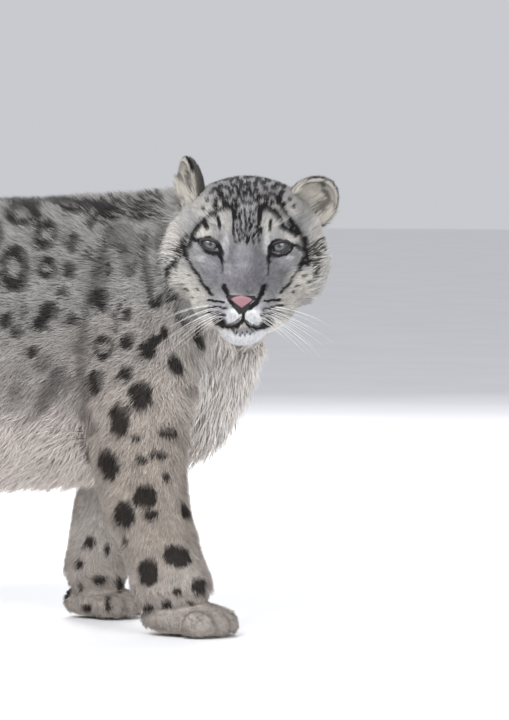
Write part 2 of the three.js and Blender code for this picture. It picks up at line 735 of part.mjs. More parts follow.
headGroup.add(meshOf('head', head(), coat));
for (const name of Object.keys(EARS)) headGroup.add(meshOf(name, ear(name), earFur));
for (const [name, side] of [['eye_right', -1], ['eye_left', 1]]) {
  const made = solid(ball(Array(3).fill(EYE_RADIUS), eyePlace(side), 16, 10));
  headGroup.add(meshOf(name, made, eyeball));
}

// The part's origin is under its middle, on the floor.
leopard.updateMatrixWorld(true);
const extent = new THREE.Box3().setFromObject(leopard, true);
const middle = extent.getCenter(new THREE.Vector3());
leopard.position.set(-middle.x, -middle.y, -extent.min.z);

export default leopard;
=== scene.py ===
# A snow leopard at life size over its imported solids: skin, coat, eyes, nose, whiskers, floor and light.
import json
import math

import bmesh
import bpy
import numpy as np
from mathutils import Matrix, Vector

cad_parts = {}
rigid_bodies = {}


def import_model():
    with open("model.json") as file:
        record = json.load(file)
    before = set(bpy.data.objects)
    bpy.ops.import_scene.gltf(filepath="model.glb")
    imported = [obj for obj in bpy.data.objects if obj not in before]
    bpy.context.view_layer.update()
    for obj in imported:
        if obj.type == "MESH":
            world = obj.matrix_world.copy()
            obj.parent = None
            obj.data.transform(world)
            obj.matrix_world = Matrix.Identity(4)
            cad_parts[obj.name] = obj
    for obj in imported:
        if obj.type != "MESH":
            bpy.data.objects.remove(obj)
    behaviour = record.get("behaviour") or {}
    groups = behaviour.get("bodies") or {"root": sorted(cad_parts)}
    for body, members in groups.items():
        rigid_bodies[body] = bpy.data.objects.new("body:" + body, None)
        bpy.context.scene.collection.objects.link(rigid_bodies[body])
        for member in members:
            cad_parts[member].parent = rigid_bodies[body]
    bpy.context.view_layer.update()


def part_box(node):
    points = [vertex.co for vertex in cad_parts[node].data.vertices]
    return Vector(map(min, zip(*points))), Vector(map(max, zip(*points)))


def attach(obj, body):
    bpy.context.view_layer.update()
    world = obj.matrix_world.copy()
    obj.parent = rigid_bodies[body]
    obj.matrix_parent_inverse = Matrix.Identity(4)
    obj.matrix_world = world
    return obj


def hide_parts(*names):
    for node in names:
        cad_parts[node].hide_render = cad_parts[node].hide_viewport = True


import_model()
rng = np.random.default_rng(11)
print("frame loaded")

# The body's forms in millimetres, as the solids have them: X forward, Y to the animal's left, floor at Z = 0.
withersHeight = 557
trunk = {
    "x": [-612, -596, -560, -500, -420, -330, -240, -150, -70, 0, 48, 84, 112, 132],
    "top": [474, 500, 524, 542, 550, 549, 547, 549, 554, withersHeight, 556, 548, 534, 505],
    "bottom": [424, 384, 322, 268, 224, 190, 170, 168, 180, 196, 206, 238, 288, 346],
    "wide": [22, 62, 92, 108, 118, 127, 137, 140, 132, 118, 108, 94, 72, 42],
}
swells = [  # middle, half sizes: shoulders, haunches, neck
    ((16, -90, 352), (88, 58, 142)),
    ((-14, 90, 352), (86, 58, 142)),
    ((-492, -84, 354), (106, 58, 136)),
    ((-472, 84, 354), (106, 58, 136)),
    ((66, -2, 432), (92, 98, 118)),
    ((120, -30, 446), (80, 84, 96)),
]
legs = {  # height, middle x, middle y, half depth, half width
    "foreRight": [
        (430, 16, -78, 44, 24), (400, 20, -92, 68, 36), (350, 25, -96, 76, 42), (292, 30, -105, 73, 46),
        (225, 30, -104, 65, 45), (160, 37, -98, 60, 44), (112, 53, -94, 55, 43), (58, 69, -91, 52, 43),
    ],
    "foreLeft": [
        (430, -8, 78, 44, 24), (400, -8, 92, 66, 36), (350, -14, 96, 74, 42), (292, -36, 104, 68, 45),
        (225, -68, 102, 57, 43), (160, -94, 92, 49, 41), (112, -106, 86, 44, 39), (58, -111, 81, 42, 39),
    ],
    "hindRight": [
        (420, -496, -72, 60, 24), (390, -492, -86, 84, 38), (340, -484, -92, 88, 44),
        (285, -486, -98, 78, 44), (232, -520, -100, 60, 41), (184, -566, -95, 49, 36),
        (145, -592, -90, 41, 33), (100, -590, -87, 37, 34), (58, -577, -85, 38, 36),
    ],
    "hindLeft": [
        (420, -484, 72, 60, 24), (390, -478, 86, 84, 38), (340, -462, 92, 88, 44),
        (285, -444, 98, 78, 44), (232, -450, 100, 61, 41), (184, -474, 95, 49, 36),
        (145, -490, 90, 41, 33), (100, -482, 87, 37, 34), (58, -468, 85, 38, 36),
    ],
}
paws = {  # middle of the sole, half length, half width, degrees turned outwards
    "foreRight": ((92, -90), 60, 46, -4),
    "foreLeft": ((-100, 80), 50, 43, 4),
    "hindRight": ((-552, -86), 52, 40, -5),
    "hindLeft": ((-440, 86), 52, 40, 5),
}
pawForm = {"wrist": 62, "soleDepth": 5, "toes": 4, "toeRadius": 17}
tail = [  # x, y, z, half thickness
    (-560, 0, 478, 44), (-618, 0, 460, 46), (-686, -6, 388, 48), (-742, -10, 294, 50),
    (-804, -10, 200, 53), (-884, -6, 128, 55), (-984, 6, 100, 56), (-1084, 24, 114, 55),
    (-1166, 42, 160, 50), (-1216, 54, 212, 38), (-1234, 58, 240, 16),
]
headPose = {"centre": (161, -70, withersHeight - 77), "yaw": -70, "roll": 1.6}
headMasses = [  # middle, half sizes, in the head's frame: out of the face, to its left, up
    ((-18, 0, 26), (84, 88, 69)), ((38, 34, 26), (30, 32, 24)), ((38, 38, 0), (24, 32, 34)),
    ((56, 0, -2), (26, 25, 30)), ((82, 0, -30), (27, 22, 25)), ((105, 0, -50), (21, 20, 15)),
    ((62, 26, -32), (28, 26, 28)), ((30, 48, -28), (36, 38, 36)), ((48, 36, -58), (38, 30, 30)),
    ((-6, 57, -12), (52, 47, 61)), ((78, 0, -62), (36, 42, 28)), ((96, 20, -70), (23, 22, 20)),
    ((82, 0, -94), (26, 29, 21)), ((16, 0, -64), (70, 60, 44)),
]
eye = {  # the ball, then the opening between its lids, which leans and sits a little lower
    "at": (51, 42, 8), "radius": 15.5, "lid": 2.3, "slant": 18, "long": 14, "high": 6.6, "reach": 30, "drop": 0.5,
}
mouthLine = [(84, 44, -74), (96, 38, -82), (108, 24, -91), (116, 10, -88), (119, 0, -81)]
lipGroove = [(130, 0, -74), (120, 0, -84)]  # from the nose to the mouth
coatDepth = {  # how far the skin lies inside the coat's surface
    "trunk": 12, "belly": 26, "leg": 6, "paw": 4, "tail": 18, "head": 3, "ruff": 9, "lid": 0.6,
}
blendWidth = {"swell": 44, "leg": 26, "paw": 12, "tail": 24, "head": 22, "face": 16}  # how softly forms meet
nearBox = {  # how far round a form it is measured, and the distance given to points outside that
    "leg": (130, 90), "legHeights": (20, 460), "paw": (50, 40), "pawHeights": (-30, 125),
    "tail": 90, "head": 170, "elsewhere": 150.0,
}


def degrees(value):
    return math.radians(value)


def turnMatrix(yaw, roll):
    cosYaw, sinYaw = math.cos(yaw), math.sin(yaw)
    cosRoll, sinRoll = math.cos(roll), math.sin(roll)
    aboutUp = np.array([[cosYaw, -sinYaw, 0], [sinYaw, cosYaw, 0], [0, 0, 1]])
    aboutFront = np.array([[1, 0, 0], [0, cosRoll, -sinRoll], [0, sinRoll, cosRoll]])
    return aboutUp @ aboutFront


headTurn = turnMatrix(degrees(headPose["yaw"]), degrees(-headPose["roll"]))
headCentre = np.array(headPose["centre"], float)


def toHead(points):
    return (points - headCentre) @ headTurn


def folded(local):
    # the head's left half stands for both halves
    return np.stack([local[:, 0], np.abs(local[:, 1]), local[:, 2]], 1)


def tilted(x, y, lean):
    # the same place along axes that lean by an angle
    return x * math.cos(lean) + y * math.sin(lean), -x * math.sin(lean) + y * math.cos(lean)


def fromHead(points):
    return np.asarray(points, float) @ headTurn.T + headCentre


# The solids sit over the middle of their own box, so one eye shows how far they were moved.
eyeBox = np.array([list(corner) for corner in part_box("eye_right")])
eyeInBody = fromHead(np.array(eye["at"]) * (1, -1, 1))
moved = eyeBox.mean(axis=0) * 1000 - eyeInBody


def toWorld(points):
    return (np.asarray(points, float) + moved) / 1000


def unit(vectors):
    return vectors / np.maximum(np.linalg.norm(vectors, axis=-1, keepdims=True), 1e-9)


def through(keys, values, at):
    # a smooth curve through a table's values
    order = np.argsort(keys)
    x = np.asarray(keys, float)[order]
    y = np.asarray(values, float)[order]
    last = len(x) - 1
    at = np.clip(at, x[0], x[-1])
    i = np.clip(np.searchsorted(x, at, side="right") - 1, 0, last - 1)
    before = np.maximum(i - 1, 0)
    after = np.minimum(i + 2, last)
    span = x[i + 1] - x[i]
    t = (at - x[i]) / span
    m1 = (y[i + 1] - y[before]) / (x[i + 1] - x[before]) * span
    m2 = (y[after] - y[i]) / (x[after] - x[i]) * span
    bend = (2 * (y[i] - y[i + 1]) + m1 + m2) * t + 3 * (y[i + 1] - y[i]) - 2 * m1 - m2
    return y[i] + t * (m1 + t * bend)


def outsideBy(near, slope, least):
    # distance outside a stretched round form; near is 1 on its surface
    return np.where(slope > 1e-6, near * (near - 1) / np.maximum(slope, 1e-6), -least)


def ellipsoid(points, middle, size):
    local = points - np.asarray(middle, float)
    size = np.asarray(size, float)
    near = np.linalg.norm(local / size, axis=-1)
    slope = np.linalg.norm(local / size**2, axis=-1)
    return outsideBy(near, slope, size.min())


def oval(x, y, a, b):
    near = np.hypot(x / a, y / b)
    slope = np.hypot(x / a**2, y / b**2)
    return outsideBy(near, slope, np.minimum(a, b))


def capped(d, beyond):
    # rounds a form off past its end
    return np.where(beyond > 0, np.hypot(np.maximum(d, 0), beyond), d)


def blend(a, b, width):
    h = np.maximum(width - np.abs(a - b), 0) / width
    return np.minimum(a, b) - h * h * width / 4


def carve(a, b, width):
    return -blend(-a, b, width)


def smoothStep(value, low, high):
    t = np.clip((value - low) / (high - low), 0, 1)
    return t * t * (3 - 2 * t)


def onlyNear(points, low, high, measure):
    # measures only the points in a box, because the rest are far from this form
    found = np.full(len(points), nearBox["elsewhere"])
    chosen = np.all((points > low) & (points < high), axis=1)
    if chosen.any():
        found[chosen] = measure(points[chosen])
    return found


def trunkAt(points, *measures):
    return [through(trunk["x"], trunk[measure], points[:, 0]) for measure in measures]


def trunkDistance(points):
    top, bottom, wide = trunkAt(points, "top", "bottom", "wide")
    d = oval(points[:, 1], points[:, 2] - (top + bottom) / 2, wide, (top - bottom) / 2)
    beyond = np.maximum(np.maximum(trunk["x"][0] - points[:, 0], points[:, 0] - trunk["x"][-1]), 0)
    d = capped(d, beyond)
    for middle, size in swells:
        d = blend(d, ellipsoid(points, middle, size), blendWidth["swell"])
    return d


def legDistance(points, name):
    table = np.array(legs[name], float)
    z = np.clip(points[:, 2], table[-1, 0], table[0, 0])
    x, y, deep, wide = (through(table[:, 0], table[:, k], z) for k in (1, 2, 3, 4))
    d = oval(points[:, 0] - x, points[:, 1] - y, deep, wide)
    return capped(d, np.abs(points[:, 2] - z))


def pawDistance(points, name):
    (px, py), long, wide, turn = paws[name]
    table = np.array(legs[name], float)
    wrist = [through(table[:, 0], table[:, k], np.array([pawForm["wrist"]]))[0] for k in (1, 2, 3, 4)]
    turned = turnMatrix(degrees(turn), 0)
    place = lambda forward, left, up: turned @ (forward, left, 0) + (px, py, up - pawForm["soleDepth"])
    d = ellipsoid(points, (wrist[0], wrist[1], pawForm["wrist"]), (wrist[2], wrist[3], 46))
    d = blend(d, ellipsoid(points, place(-6, 0, 26), (long, wide - 4, 27)), 7)
    half = (pawForm["toes"] - 1) / 2
    for i in range(pawForm["toes"]):
        spread = (i - half) / half
        radius = pawForm["toeRadius"]
        middle = place(long - 22 - 12 * spread**2, spread * (wide - radius + 2), 21)
        d = blend(d, ellipsoid(points, middle, (radius * 1.5, radius, 21)), 5)
    return np.maximum(d, -points[:, 2])


def tailPoints(count=60):
    keys = np.arange(len(tail))
    at = np.linspace(0, len(tail) - 1, count)
    return np.stack([through(keys, [row[k] for row in tail], at) for k in range(4)], 1)


tailLine = tailPoints()


def alongTail(points):
    # distance outside the tail, the share of its length, and its direction there
    best = np.full(len(points), 1e6)
    share = np.zeros(len(points))
    direction = np.zeros((len(points), 3))
    count = len(tailLine) - 1
    for i in range(count):
        a, b = tailLine[i], tailLine[i + 1]
        run = b[:3] - a[:3]
        t = np.clip(((points - a[:3]) @ run) / (run @ run), 0, 1)
        d = np.linalg.norm(points - a[:3] - t[:, None] * run, axis=1) - (a[3] + t * (b[3] - a[3]))
        closer = d < best
        best[closer] = d[closer]
        share[closer] = (i + t[closer]) / count
        direction[closer] = run / np.linalg.norm(run)
    return best, share, direction


def headDistance(points):
    local = toHead(points)
    d = np.full(len(points), 1e3)
    for middle, size in headMasses:
        d = blend(d, ellipsoid(local, middle, size), blendWidth["face"])
        if middle[1]:
            d = blend(d, ellipsoid(local * (1, -1, 1), middle, size), blendWidth["face"])
    return d


def parts(points):
    # how far each point is outside each part's coat
    found = {"trunk": trunkDistance(points)}
    for name, table in legs.items():
        line = np.array(table, float)[:, 1:3]
        low = (*(line.min(axis=0) - nearBox["leg"]), nearBox["legHeights"][0])
        high = (*(line.max(axis=0) + nearBox["leg"]), nearBox["legHeights"][1])
        found[name] = onlyNear(points, low, high, lambda p: legDistance(p, name))
        middle, long, wide, _ = paws[name]
        reach = np.add((long, wide), nearBox["paw"])
        low = (*(middle - reach), nearBox["pawHeights"][0])
        high = (*(middle + reach), nearBox["pawHeights"][1])
        found[name + "Paw"] = onlyNear(points, low, high, lambda p: pawDistance(p, name))
    rows = np.array(tail)[:, :3]
    low, high = rows.min(axis=0) - nearBox["tail"], rows.max(axis=0) + nearBox["tail"]
    found["tail"] = onlyNear(points, low, high, lambda p: alongTail(p)[0])
    low, high = headCentre - nearBox["head"], headCentre + nearBox["head"]
    found["head"] = onlyNear(points, low, high, headDistance)
    return found


def joined(found):
    d = found["trunk"]
    for name in legs:
        limb = blend(found[name], found[name + "Paw"], blendWidth["paw"])
        d = blend(d, limb, blendWidth["leg"])
    d = blend(d, found["tail"], blendWidth["tail"])
    return blend(d, found["head"], blendWidth["head"])


def shares(found):
    # how much of each part a point belongs to
    names = list(found)
    d = np.stack([found[name] for name in names], 1)
    weight = np.exp(-(d - d.min(axis=1, keepdims=True)) / 9)
    weight /= weight.sum(axis=1, keepdims=True)
    return {name: weight[:, i] for i, name in enumerate(names)}


def limbShares(part):
    # how much of all the legs, and of all the paws
    return sum(part[name] for name in legs), sum(part[name + "Paw"] for name in legs)


def lowness(points):
    # 0 on the back, 1 at the bottom of the trunk
    top, bottom = trunkAt(points, "top", "bottom")
    return np.clip((top - points[:, 2]) / (top - bottom), 0, 1)


def depthAt(points, part):
    # the skin's depth under the coat's surface, blended from coatDepth
    trunkDepth = coatDepth["trunk"] + coatDepth["belly"] * smoothStep(lowness(points), 0.6, 0.95)
    legShare, pawShare = limbShares(part)
    local = toHead(points)
    back = smoothStep(-local[:, 0], -30, 25)
    headDepth = coatDepth["head"] + (coatDepth["ruff"] - coatDepth["head"]) * back
    eyeNear = np.linalg.norm(folded(local) - eye["at"], axis=1)
    lids = 1 - smoothStep(eyeNear, 18, 30)
    muzzle = smoothStep(local[:, 0], 70, 100)
    headDepth = headDepth * (1 - 0.45 * muzzle)
    headDepth = headDepth * (1 - lids) + coatDepth["lid"] * lids
    return (
        part["trunk"] * trunkDepth + legShare * coatDepth["leg"] + pawShare * coatDepth["paw"]
        + part["tail"] * coatDepth["tail"] + part["head"] * headDepth
    )


def polyDistance(points, line):
    # distance from points to a run of straight pieces, in two or three dimensions
    best = np.full(len(points), 1e6)
    for a, b in zip(line[:-1], line[1:]):
        a, run = np.asarray(a, float), np.subtract(b, a).astype(float)
        t = np.clip(((points - a) @ run) / (run @ run), 0, 1)
        best = np.minimum(best, np.linalg.norm(points - a - t[:, None] * run, axis=1))
    return best


def faceForms(points, d):
    # lids over the eyeballs, the line of the mouth and the groove under the nose
    half = folded(toHead(points))
    shell = np.linalg.norm(half - eye["at"], axis=1) - eye["radius"] - eye["lid"]
    d = blend(d, shell, 7)
    offset = half - (eye["at"][0] + eye["reach"] * 0.75, eye["at"][1], eye["at"][2] - eye["drop"])
    turned = np.stack([offset[:, 0], *tilted(offset[:, 1], offset[:, 2], degrees(eye["slant"]))], 1)
    opening = ellipsoid(turned, (0, 0, 0), (eye["reach"], eye["long"], eye["high"]))
    d = carve(d, opening, 1.2)
    d = carve(d, polyDistance(half, mouthLine) - 2.4, 2.5)
    return carve(d, polyDistance(half, lipGroove) - 1.2, 3)


def skinDistance(points, detailed=False):
    found = parts(points)
    d = joined(found) + depthAt(points, shares(found))
    if detailed:
        chosen = toHead(points)[:, 0] > 20
        d[chosen] = faceForms(points[chosen], d[chosen])
    return np.maximum(d, 1.5 - points[:, 2])


def slopeOf(measure, points, step=1.0):
    found = np.zeros_like(points)
    for axis in range(3):
        push = np.zeros(3)
        push[axis] = step
        found[:, axis] = (measure(points + push) - measure(points - push)) / (2 * step)
    return found


def isosurface(values, low, step):
    # one vertex in each cell that the surface crosses, one face across each crossing edge
    shape = np.array(values.shape) - 1
    size = int(np.prod(shape))
    total = np.zeros((size, 3))
    count = np.zeros(size)
    quads = []
    for axis in range(3):
        first = np.take(values, range(0, values.shape[axis] - 1), axis)
        second = np.take(values, range(1, values.shape[axis]), axis)
        crossing = (first < 0) != (second < 0)
        index = np.argwhere(crossing)
        a, b = first[crossing], second[crossing]
        place = index.astype(float)
        place[:, axis] += a / (a - b)
        around = []
        good = np.ones(len(index), bool)
        others = [k for k in range(3) if k != axis]
        for back in ((0, 0), (1, 0), (1, 1), (0, 1)):
            cell = index.copy()
            cell[:, others[0]] -= back[0]
            cell[:, others[1]] -= back[1]
            fits = np.all((cell >= 0) & (cell < shape), axis=1)
            good &= fits
            flat = np.ravel_multi_index(np.where(fits[:, None], cell, 0).T, shape)
            around.append(flat)
            count += np.bincount(flat[fits], minlength=size)
            for k in range(3):
                total[:, k] += np.bincount(flat[fits], place[fits, k], minlength=size)
        quad = np.stack(around, 1)[good]
        turned = (a[good] < 0) == (axis != 1)
        quad[~turned] = quad[~turned][:, ::-1]
        quads.append(quad)
    used = count > 0
    number = np.cumsum(used) - 1
    vertices = low + total[used] / count[used][:, None] * step
    return vertices, number[np.concatenate(quads)]


def surfaceIn(low, high, step, measure):
    # the surface where a measure crosses 0 inside a box
    low = np.array(low, float)
    axes = [np.arange(low[k], high[k], step) for k in range(3)]
    grid = np.stack(np.meshgrid(*axes, indexing="ij"), -1).reshape(-1, 3)
    values = np.concatenate([measure(chunk) for chunk in np.array_split(grid, 8)])
    return isosurface(values.reshape([len(axis) for axis in axes]), low, step)


def shadeSmooth(mesh):
    mesh.polygons.foreach_set("use_smooth", np.ones(len(mesh.polygons), bool))


def newMesh(name, vertices, corners, sizes, attributes):
    # vertices in body millimetres; corners run face by face, sizes say how many each face has
    mesh = bpy.data.meshes.new(name)
    mesh.vertices.add(len(vertices))
    mesh.vertices.foreach_set("co", toWorld(vertices).astype(np.float32).ravel())
    mesh.loops.add(len(corners))
    mesh.loops.foreach_set("vertex_index", corners.astype(np.int32))
    mesh.polygons.add(len(sizes))
    mesh.polygons.foreach_set("loop_start", (np.cumsum(sizes) - sizes).astype(np.int32))
    mesh.polygons.foreach_set("loop_total", sizes.astype(np.int32))
    mesh.update(calc_edges=True)
    shadeSmooth(mesh)
    for key, values in attributes.items():
        if np.ndim(values) == 2:
            values = np.concatenate([values, np.ones((len(values), 1))], 1)
            layer = mesh.attributes.new(key, "FLOAT_COLOR", "POINT")
            layer.data.foreach_set("color", values.astype(np.float32).ravel())
        else:
            layer = mesh.attributes.new(key, "FLOAT", "POINT")
            layer.data.foreach_set("value", np.asarray(values, np.float32))
    return mesh


def addObject(name, data):
    made = bpy.data.objects.new(name, data)
    bpy.context.collection.objects.link(made)
    return made


def addPiece(name, mesh, material):
    piece = addObject(name, mesh)
    mesh.materials.append(material)
    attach(piece, "root")
    return piece


def meshFrom(name, vertices, faces, material, attributes):
    sizes = np.array([len(face) for face in faces])
    mesh = newMesh(name, vertices, np.concatenate(faces), sizes, attributes)
    mesh.validate()
    return addPiece(name, mesh, material)


# Shader maths: an expression on these sockets adds the nodes for it.
class Wire:
    def __init__(self, tree, socket):
        self.tree = tree
        self.socket = socket

    def node(self, kind, settings=None, **inputs):
        made = self.tree.nodes.new(kind)
        for key, value in (settings or {}).items():
            if key == "stops":
                ramp = made.color_ramp
                while len(ramp.elements) < len(value):
                    ramp.elements.new(0.5)
                for element, (place, colour) in zip(ramp.elements, value):
                    element.position = place
                    element.color = (*colour, 1)
            else:
                setattr(made, key, value)
        for key, value in inputs.items():
            number = key[1:] if key[0] == "i" and key[1:].isdigit() else None
            target = made.inputs[int(number)] if number else made.inputs[key.replace("_", " ")]
            if isinstance(value, Wire):
                self.tree.links.new(value.socket, target)
            else:
                target.default_value = value
        return made

    def make(self, kind, settings=None, out=0, **inputs):
        return Wire(self.tree, self.node(kind, settings, **inputs).outputs[out])

    def maths(self, operation, a, b=0.0):
        return self.make("ShaderNodeMath", {"operation": operation}, i0=a, i1=b)

    def __add__(self, other):
        return self.maths("ADD", self, other)

    def __sub__(self, other):
        return self.maths("SUBTRACT", self, other)

    def __rsub__(self, other):
        return self.maths("SUBTRACT", other, self)

    def __mul__(self, other):
        return self.maths("MULTIPLY", self, other)

    __radd__ = __add__
    __rmul__ = __mul__

    def mix(self, a, b):
        # colour a where this is 0, colour b where it is 1
        paint = lambda c: c if isinstance(c, Wire) else (*c, 1)
        settings = {"data_type": "RGBA"}
        return self.make("ShaderNodeMix", settings, out=2, i0=self, i6=paint(a), i7=paint(b))

    def times(self, colour, amount):
        # this colour multiplied by another
        settings = {"data_type": "RGBA", "blend_type": "MULTIPLY"}
        return self.make("ShaderNodeMix", settings, out=2, i0=amount, i6=self, i7=colour)

    def between(self, low, high):
        return self.make("ShaderNodeMapRange", {"interpolation_type": "SMOOTHSTEP"}, i0=self, i1=low, i2=high)

    def cloud(self, scale, detail):
        return self.make("ShaderNodeTexNoise", i0=self, Scale=scale, Detail=detail)


def fromSrgb(red, green, blue):
    value = np.array([red, green, blue]) / 255
    linear = np.where(value < 0.04045, value / 12.92, ((value + 0.055) / 1.055) ** 2.4)
    return tuple(float(v) for v in linear)


def newMaterial(name):
    material = bpy.data.materials.new(name)
    material.use_nodes = True
    tree = material.node_tree
    shader = tree.nodes["Principled BSDF"]
    start = Wire(tree, tree.nodes.new("ShaderNodeTexCoord").outputs["Object"])
    return material, shader, start


def feed(shader, socket, value):
    if isinstance(value, Wire):
        value.tree.links.new(value.socket, shader.inputs[socket])
    else:
        shader.inputs[socket].default_value = value


def attributeOf(start, name, out=0):
    # out 0 is a colour, out 2 a number
    return start.make("ShaderNodeAttribute", {"attribute_name": name}, out=out)


def furMaterial(name, rough, grain, bump):
    # the colour lies in the mesh; fine noise breaks it up as single hairs do
    material, shader, start = newMaterial(name)
    colour = attributeOf(start, "coatColour")
    fine = start.cloud(grain, 3.0)
    dark = colour.times((0.8, 0.8, 0.8, 1), 1.0)
    feed(shader, "Base Color", fine.between(0.35, 0.65).mix(dark, colour))
    feed(shader, "Roughness", fine * 0.2 + rough)
    feed(shader, "Normal", start.make("ShaderNodeBump", Height=fine, Distance=bump, Strength=0.5))
    shader.inputs["Specular IOR Level"].default_value = 0.12
    return material


coatMaterial = furMaterial("coatHair", 0.55, 900.0, 0.0004)
skinMaterial = furMaterial("skinUnderHair", 0.62, 1400.0, 0.0006)

# The camera stands where the photo's did, and gives each point its place in the photo.
view = {
    "azimuth": 22, "elevation": 2.5, "distance": 6000, "withersPixel": 150, "scale": 1.27, "aim": 339,
    "edgeOn": -0.15, "beyondLeft": 32, "beyondRight": 20,  # how far round and out of frame the photo's marks go
}
photoWidth, photoHeight = 509, 720
alongImage = (photoWidth / 2 - view["withersPixel"]) * view["scale"]
yawView = degrees(view["azimuth"])
aim = np.array([alongImage * math.cos(yawView), alongImage * math.sin(yawView), view["aim"]])
riseView = degrees(view["elevation"])
level = math.cos(riseView)
viewBack = np.array([math.sin(yawView) * level, -math.cos(yawView) * level, math.sin(riseView)])
viewRight = np.array([math.cos(yawView), math.sin(yawView), 0])
viewUp = np.cross(viewBack, viewRight)
cameraAt = aim + viewBack * view["distance"]
focal = view["distance"] / view["scale"]  # in pixels


def inPhoto(points):
    offset = points - cameraAt
    away = -(offset @ viewBack)
    across = photoWidth / 2 + focal * (offset @ viewRight) / away
    down = photoHeight / 2 - focal * (offset @ viewUp) / away
    return np.stack([across, down], 1)


def noise(points, scale, seed=0):
    # smooth random values from 0 to 1, one for each point
    cell = points / scale + 1000.5
    low = np.floor(cell).astype(np.int64)
    t = cell - low
    t = t * t * (3 - 2 * t)
    value = np.zeros(len(points))
    for corner in range(8):
        step = np.array([corner & 1, (corner >> 1) & 1, corner >> 2])
        at = low + step
        mixed = at[:, 0] * 73856093 ^ at[:, 1] * 19349663 ^ at[:, 2] * 83492791 ^ (seed * 2654435761)
        mixed = (mixed ^ (mixed >> 13)) * 1274126177 & 0x7FFFFFFF
        weight = np.prod(np.where(step, t, 1 - t), axis=1)
        value += weight * (mixed % 65536) / 65535
    return value


# Skin: the whole body in one closed mesh, finer on the face.
skinForm = {
    "low": (-1310, -240, -8), "high": (330, 190, 620), "step": 6.5,
    "fineFrom": (12, 34),  # in each round, the quads further out of the face than this are split into four
    "settle": 3, "settleStep": 2.5,  # rounds that pull points onto the surface, and the most that one moves them
}


def bodySkin():
    vertices, quads = surfaceIn(skinForm["low"], skinForm["high"], skinForm["step"], skinDistance)
    bm = bmesh.new()
    made = [bm.verts.new(v) for v in vertices]
    for quad in quads:
        bm.faces.new([made[i] for i in quad])
    for reach in skinForm["fineFrom"]:
        fine = [f for f in bm.faces if toHead(np.array([f.calc_center_median()]))[0][0] > reach]
        edges = {e for f in fine for e in f.edges}
        bmesh.ops.subdivide_edges(bm, edges=list(edges), cuts=1, use_grid_fill=True)
    bm.verts.index_update()
    vertices = np.array([v.co for v in bm.verts])
    faces = [[v.index for v in f.verts] for f in bm.faces]
    bm.free()
    measure = lambda p: skinDistance(p, detailed=True)
    for _ in range(skinForm["settle"]):
        slope = slopeOf(measure, vertices)
        pull = measure(vertices) / np.maximum((slope**2).sum(axis=1), 0.25)
        vertices -= np.clip(pull, -skinForm["settleStep"], skinForm["settleStep"])[:, None] * slope
    return vertices, faces


skinVertices, skinFaces = bodySkin()
print("skin:", len(skinVertices), "points")

# Ears: thin cups with a rounded back, made in their own frame and stood on the head.
earForm = {
    "high": 56, "thick": 16, "cup": 12.5, "step": 1.5, "shave": 1.2, "low": (-22, -40, -30), "top": (24, 42, 72),
}
ears = {
    "earRight": {
        "node": "ear_right", "at": (-14, -71, 60), "wide": 29,
        "tip": (-0.12, -0.16, 1), "opens": (0.36, -0.93, -0.06),
    },
    "earLeft": {
        "node": "ear_left", "at": (-12, 66, 48), "wide": 32,
        "tip": (0.02, 0.68, 0.73), "opens": (0.95, 0.24, -0.2),
    },
}


def earBasis(ear):
    up = unit(np.array(ear["tip"], float))
    out = np.array(ear["opens"], float)
    out = unit(out - up * (out @ up))
    return np.stack([out, np.cross(up, out), up])


def intoEar(points, ear):
    return (toHead(points) - np.array(ear["at"], float)) @ earBasis(ear).T


def earDistance(points, wide):
    high, cup = earForm["high"], earForm["cup"]
    d = ellipsoid(points, (0, 0, high / 2 - 12), (earForm["thick"], wide, high / 2 + 12))
    hollow = ellipsoid(points, (cup * 0.72, 0, high / 2 - 10), (cup, wide - 5, high / 2 + 4))
    return carve(d + earForm["shave"], hollow - 0.4, 1.5)


def makeEar(ear):
    measure = lambda p: earDistance(p, ear["wide"])
    vertices, faces = surfaceIn(earForm["low"], earForm["top"], earForm["step"], measure)
    normals = unit(slopeOf(measure, vertices))
    basis = earBasis(ear)
    placed = fromHead(vertices @ basis + np.array(ear["at"], float))
    return placed, faces, normals @ basis @ headTurn.T


# Markings of the side that the photo shows, in its pixels: middle, half sizes and tilt of each spot,
# rings with an open middle, and strokes by their points and half width.
bodySpots = [  # near-black
    (71, 241, 6, 10, 10), (67, 270, 5, 8, 0), (46, 311, 9, 10, 30), (38, 324, 8, 8, 20), (69, 320, 5, 7, 0),
    (97, 296, 11, 7, -20), (100, 306, 7, 6, 20), (126, 315, 4, 7, 10), (126, 342, 7, 8, 10), (155, 340, 6, 6, 20),
    (147, 350, 9, 9, 0), (176, 367, 6.5, 11, -28), (124, 376, 7, 8, 20), (93, 384, 7, 13, 5), (140, 397, 12.5, 14, -15),
    (118, 414, 10, 8, 10), (164, 334, 3.5, 7, -15), (107, 216, 4, 3, 20), (35, 203, 5, 6, -20), (35, 212, 5, 6, 10),
    (19, 284, 7, 6, -20), (86, 253, 2.6, 7, 10), (154, 304, 6, 5, -20), (30, 352, 6, 6, 0), (5, 320, 6, 8, 0),
    (14, 332, 5, 7, 10), (60, 292, 4, 6, 0), (108, 268, 3, 6, 0), (120, 246, 3, 7, 0), (132, 268, 3, 8, 10),
]
bodyRings = [
    (20, 212, 16, 12, 0), (45, 233, 9, 15, 12), (12, 267, 14, 22, 0), (45, 267, 9, 11, 0), (101, 348, 9, 12, 0),
    (-16, 232, 15, 18, 0), (-20, 280, 14, 18, 0),
]
bodyFaint = [  # grey, as seen through longer hair
    (41, 364, 8, 10, 0), (46, 392, 8, 14, 20), (196, 394, 5, 6, -20), (12, 396, 7, 10, 10), (128, 250, 10, 26, 0),
    (74, 352, 4, 10, 0), (100, 272, 9, 22, 8), (22, 312, 6, 10, 0), (150, 280, 5, 14, 0), (64, 386, 5, 10, 10),
    (154, 242, 7, 9, 0), (117, 236, 8, 14, 0),
]
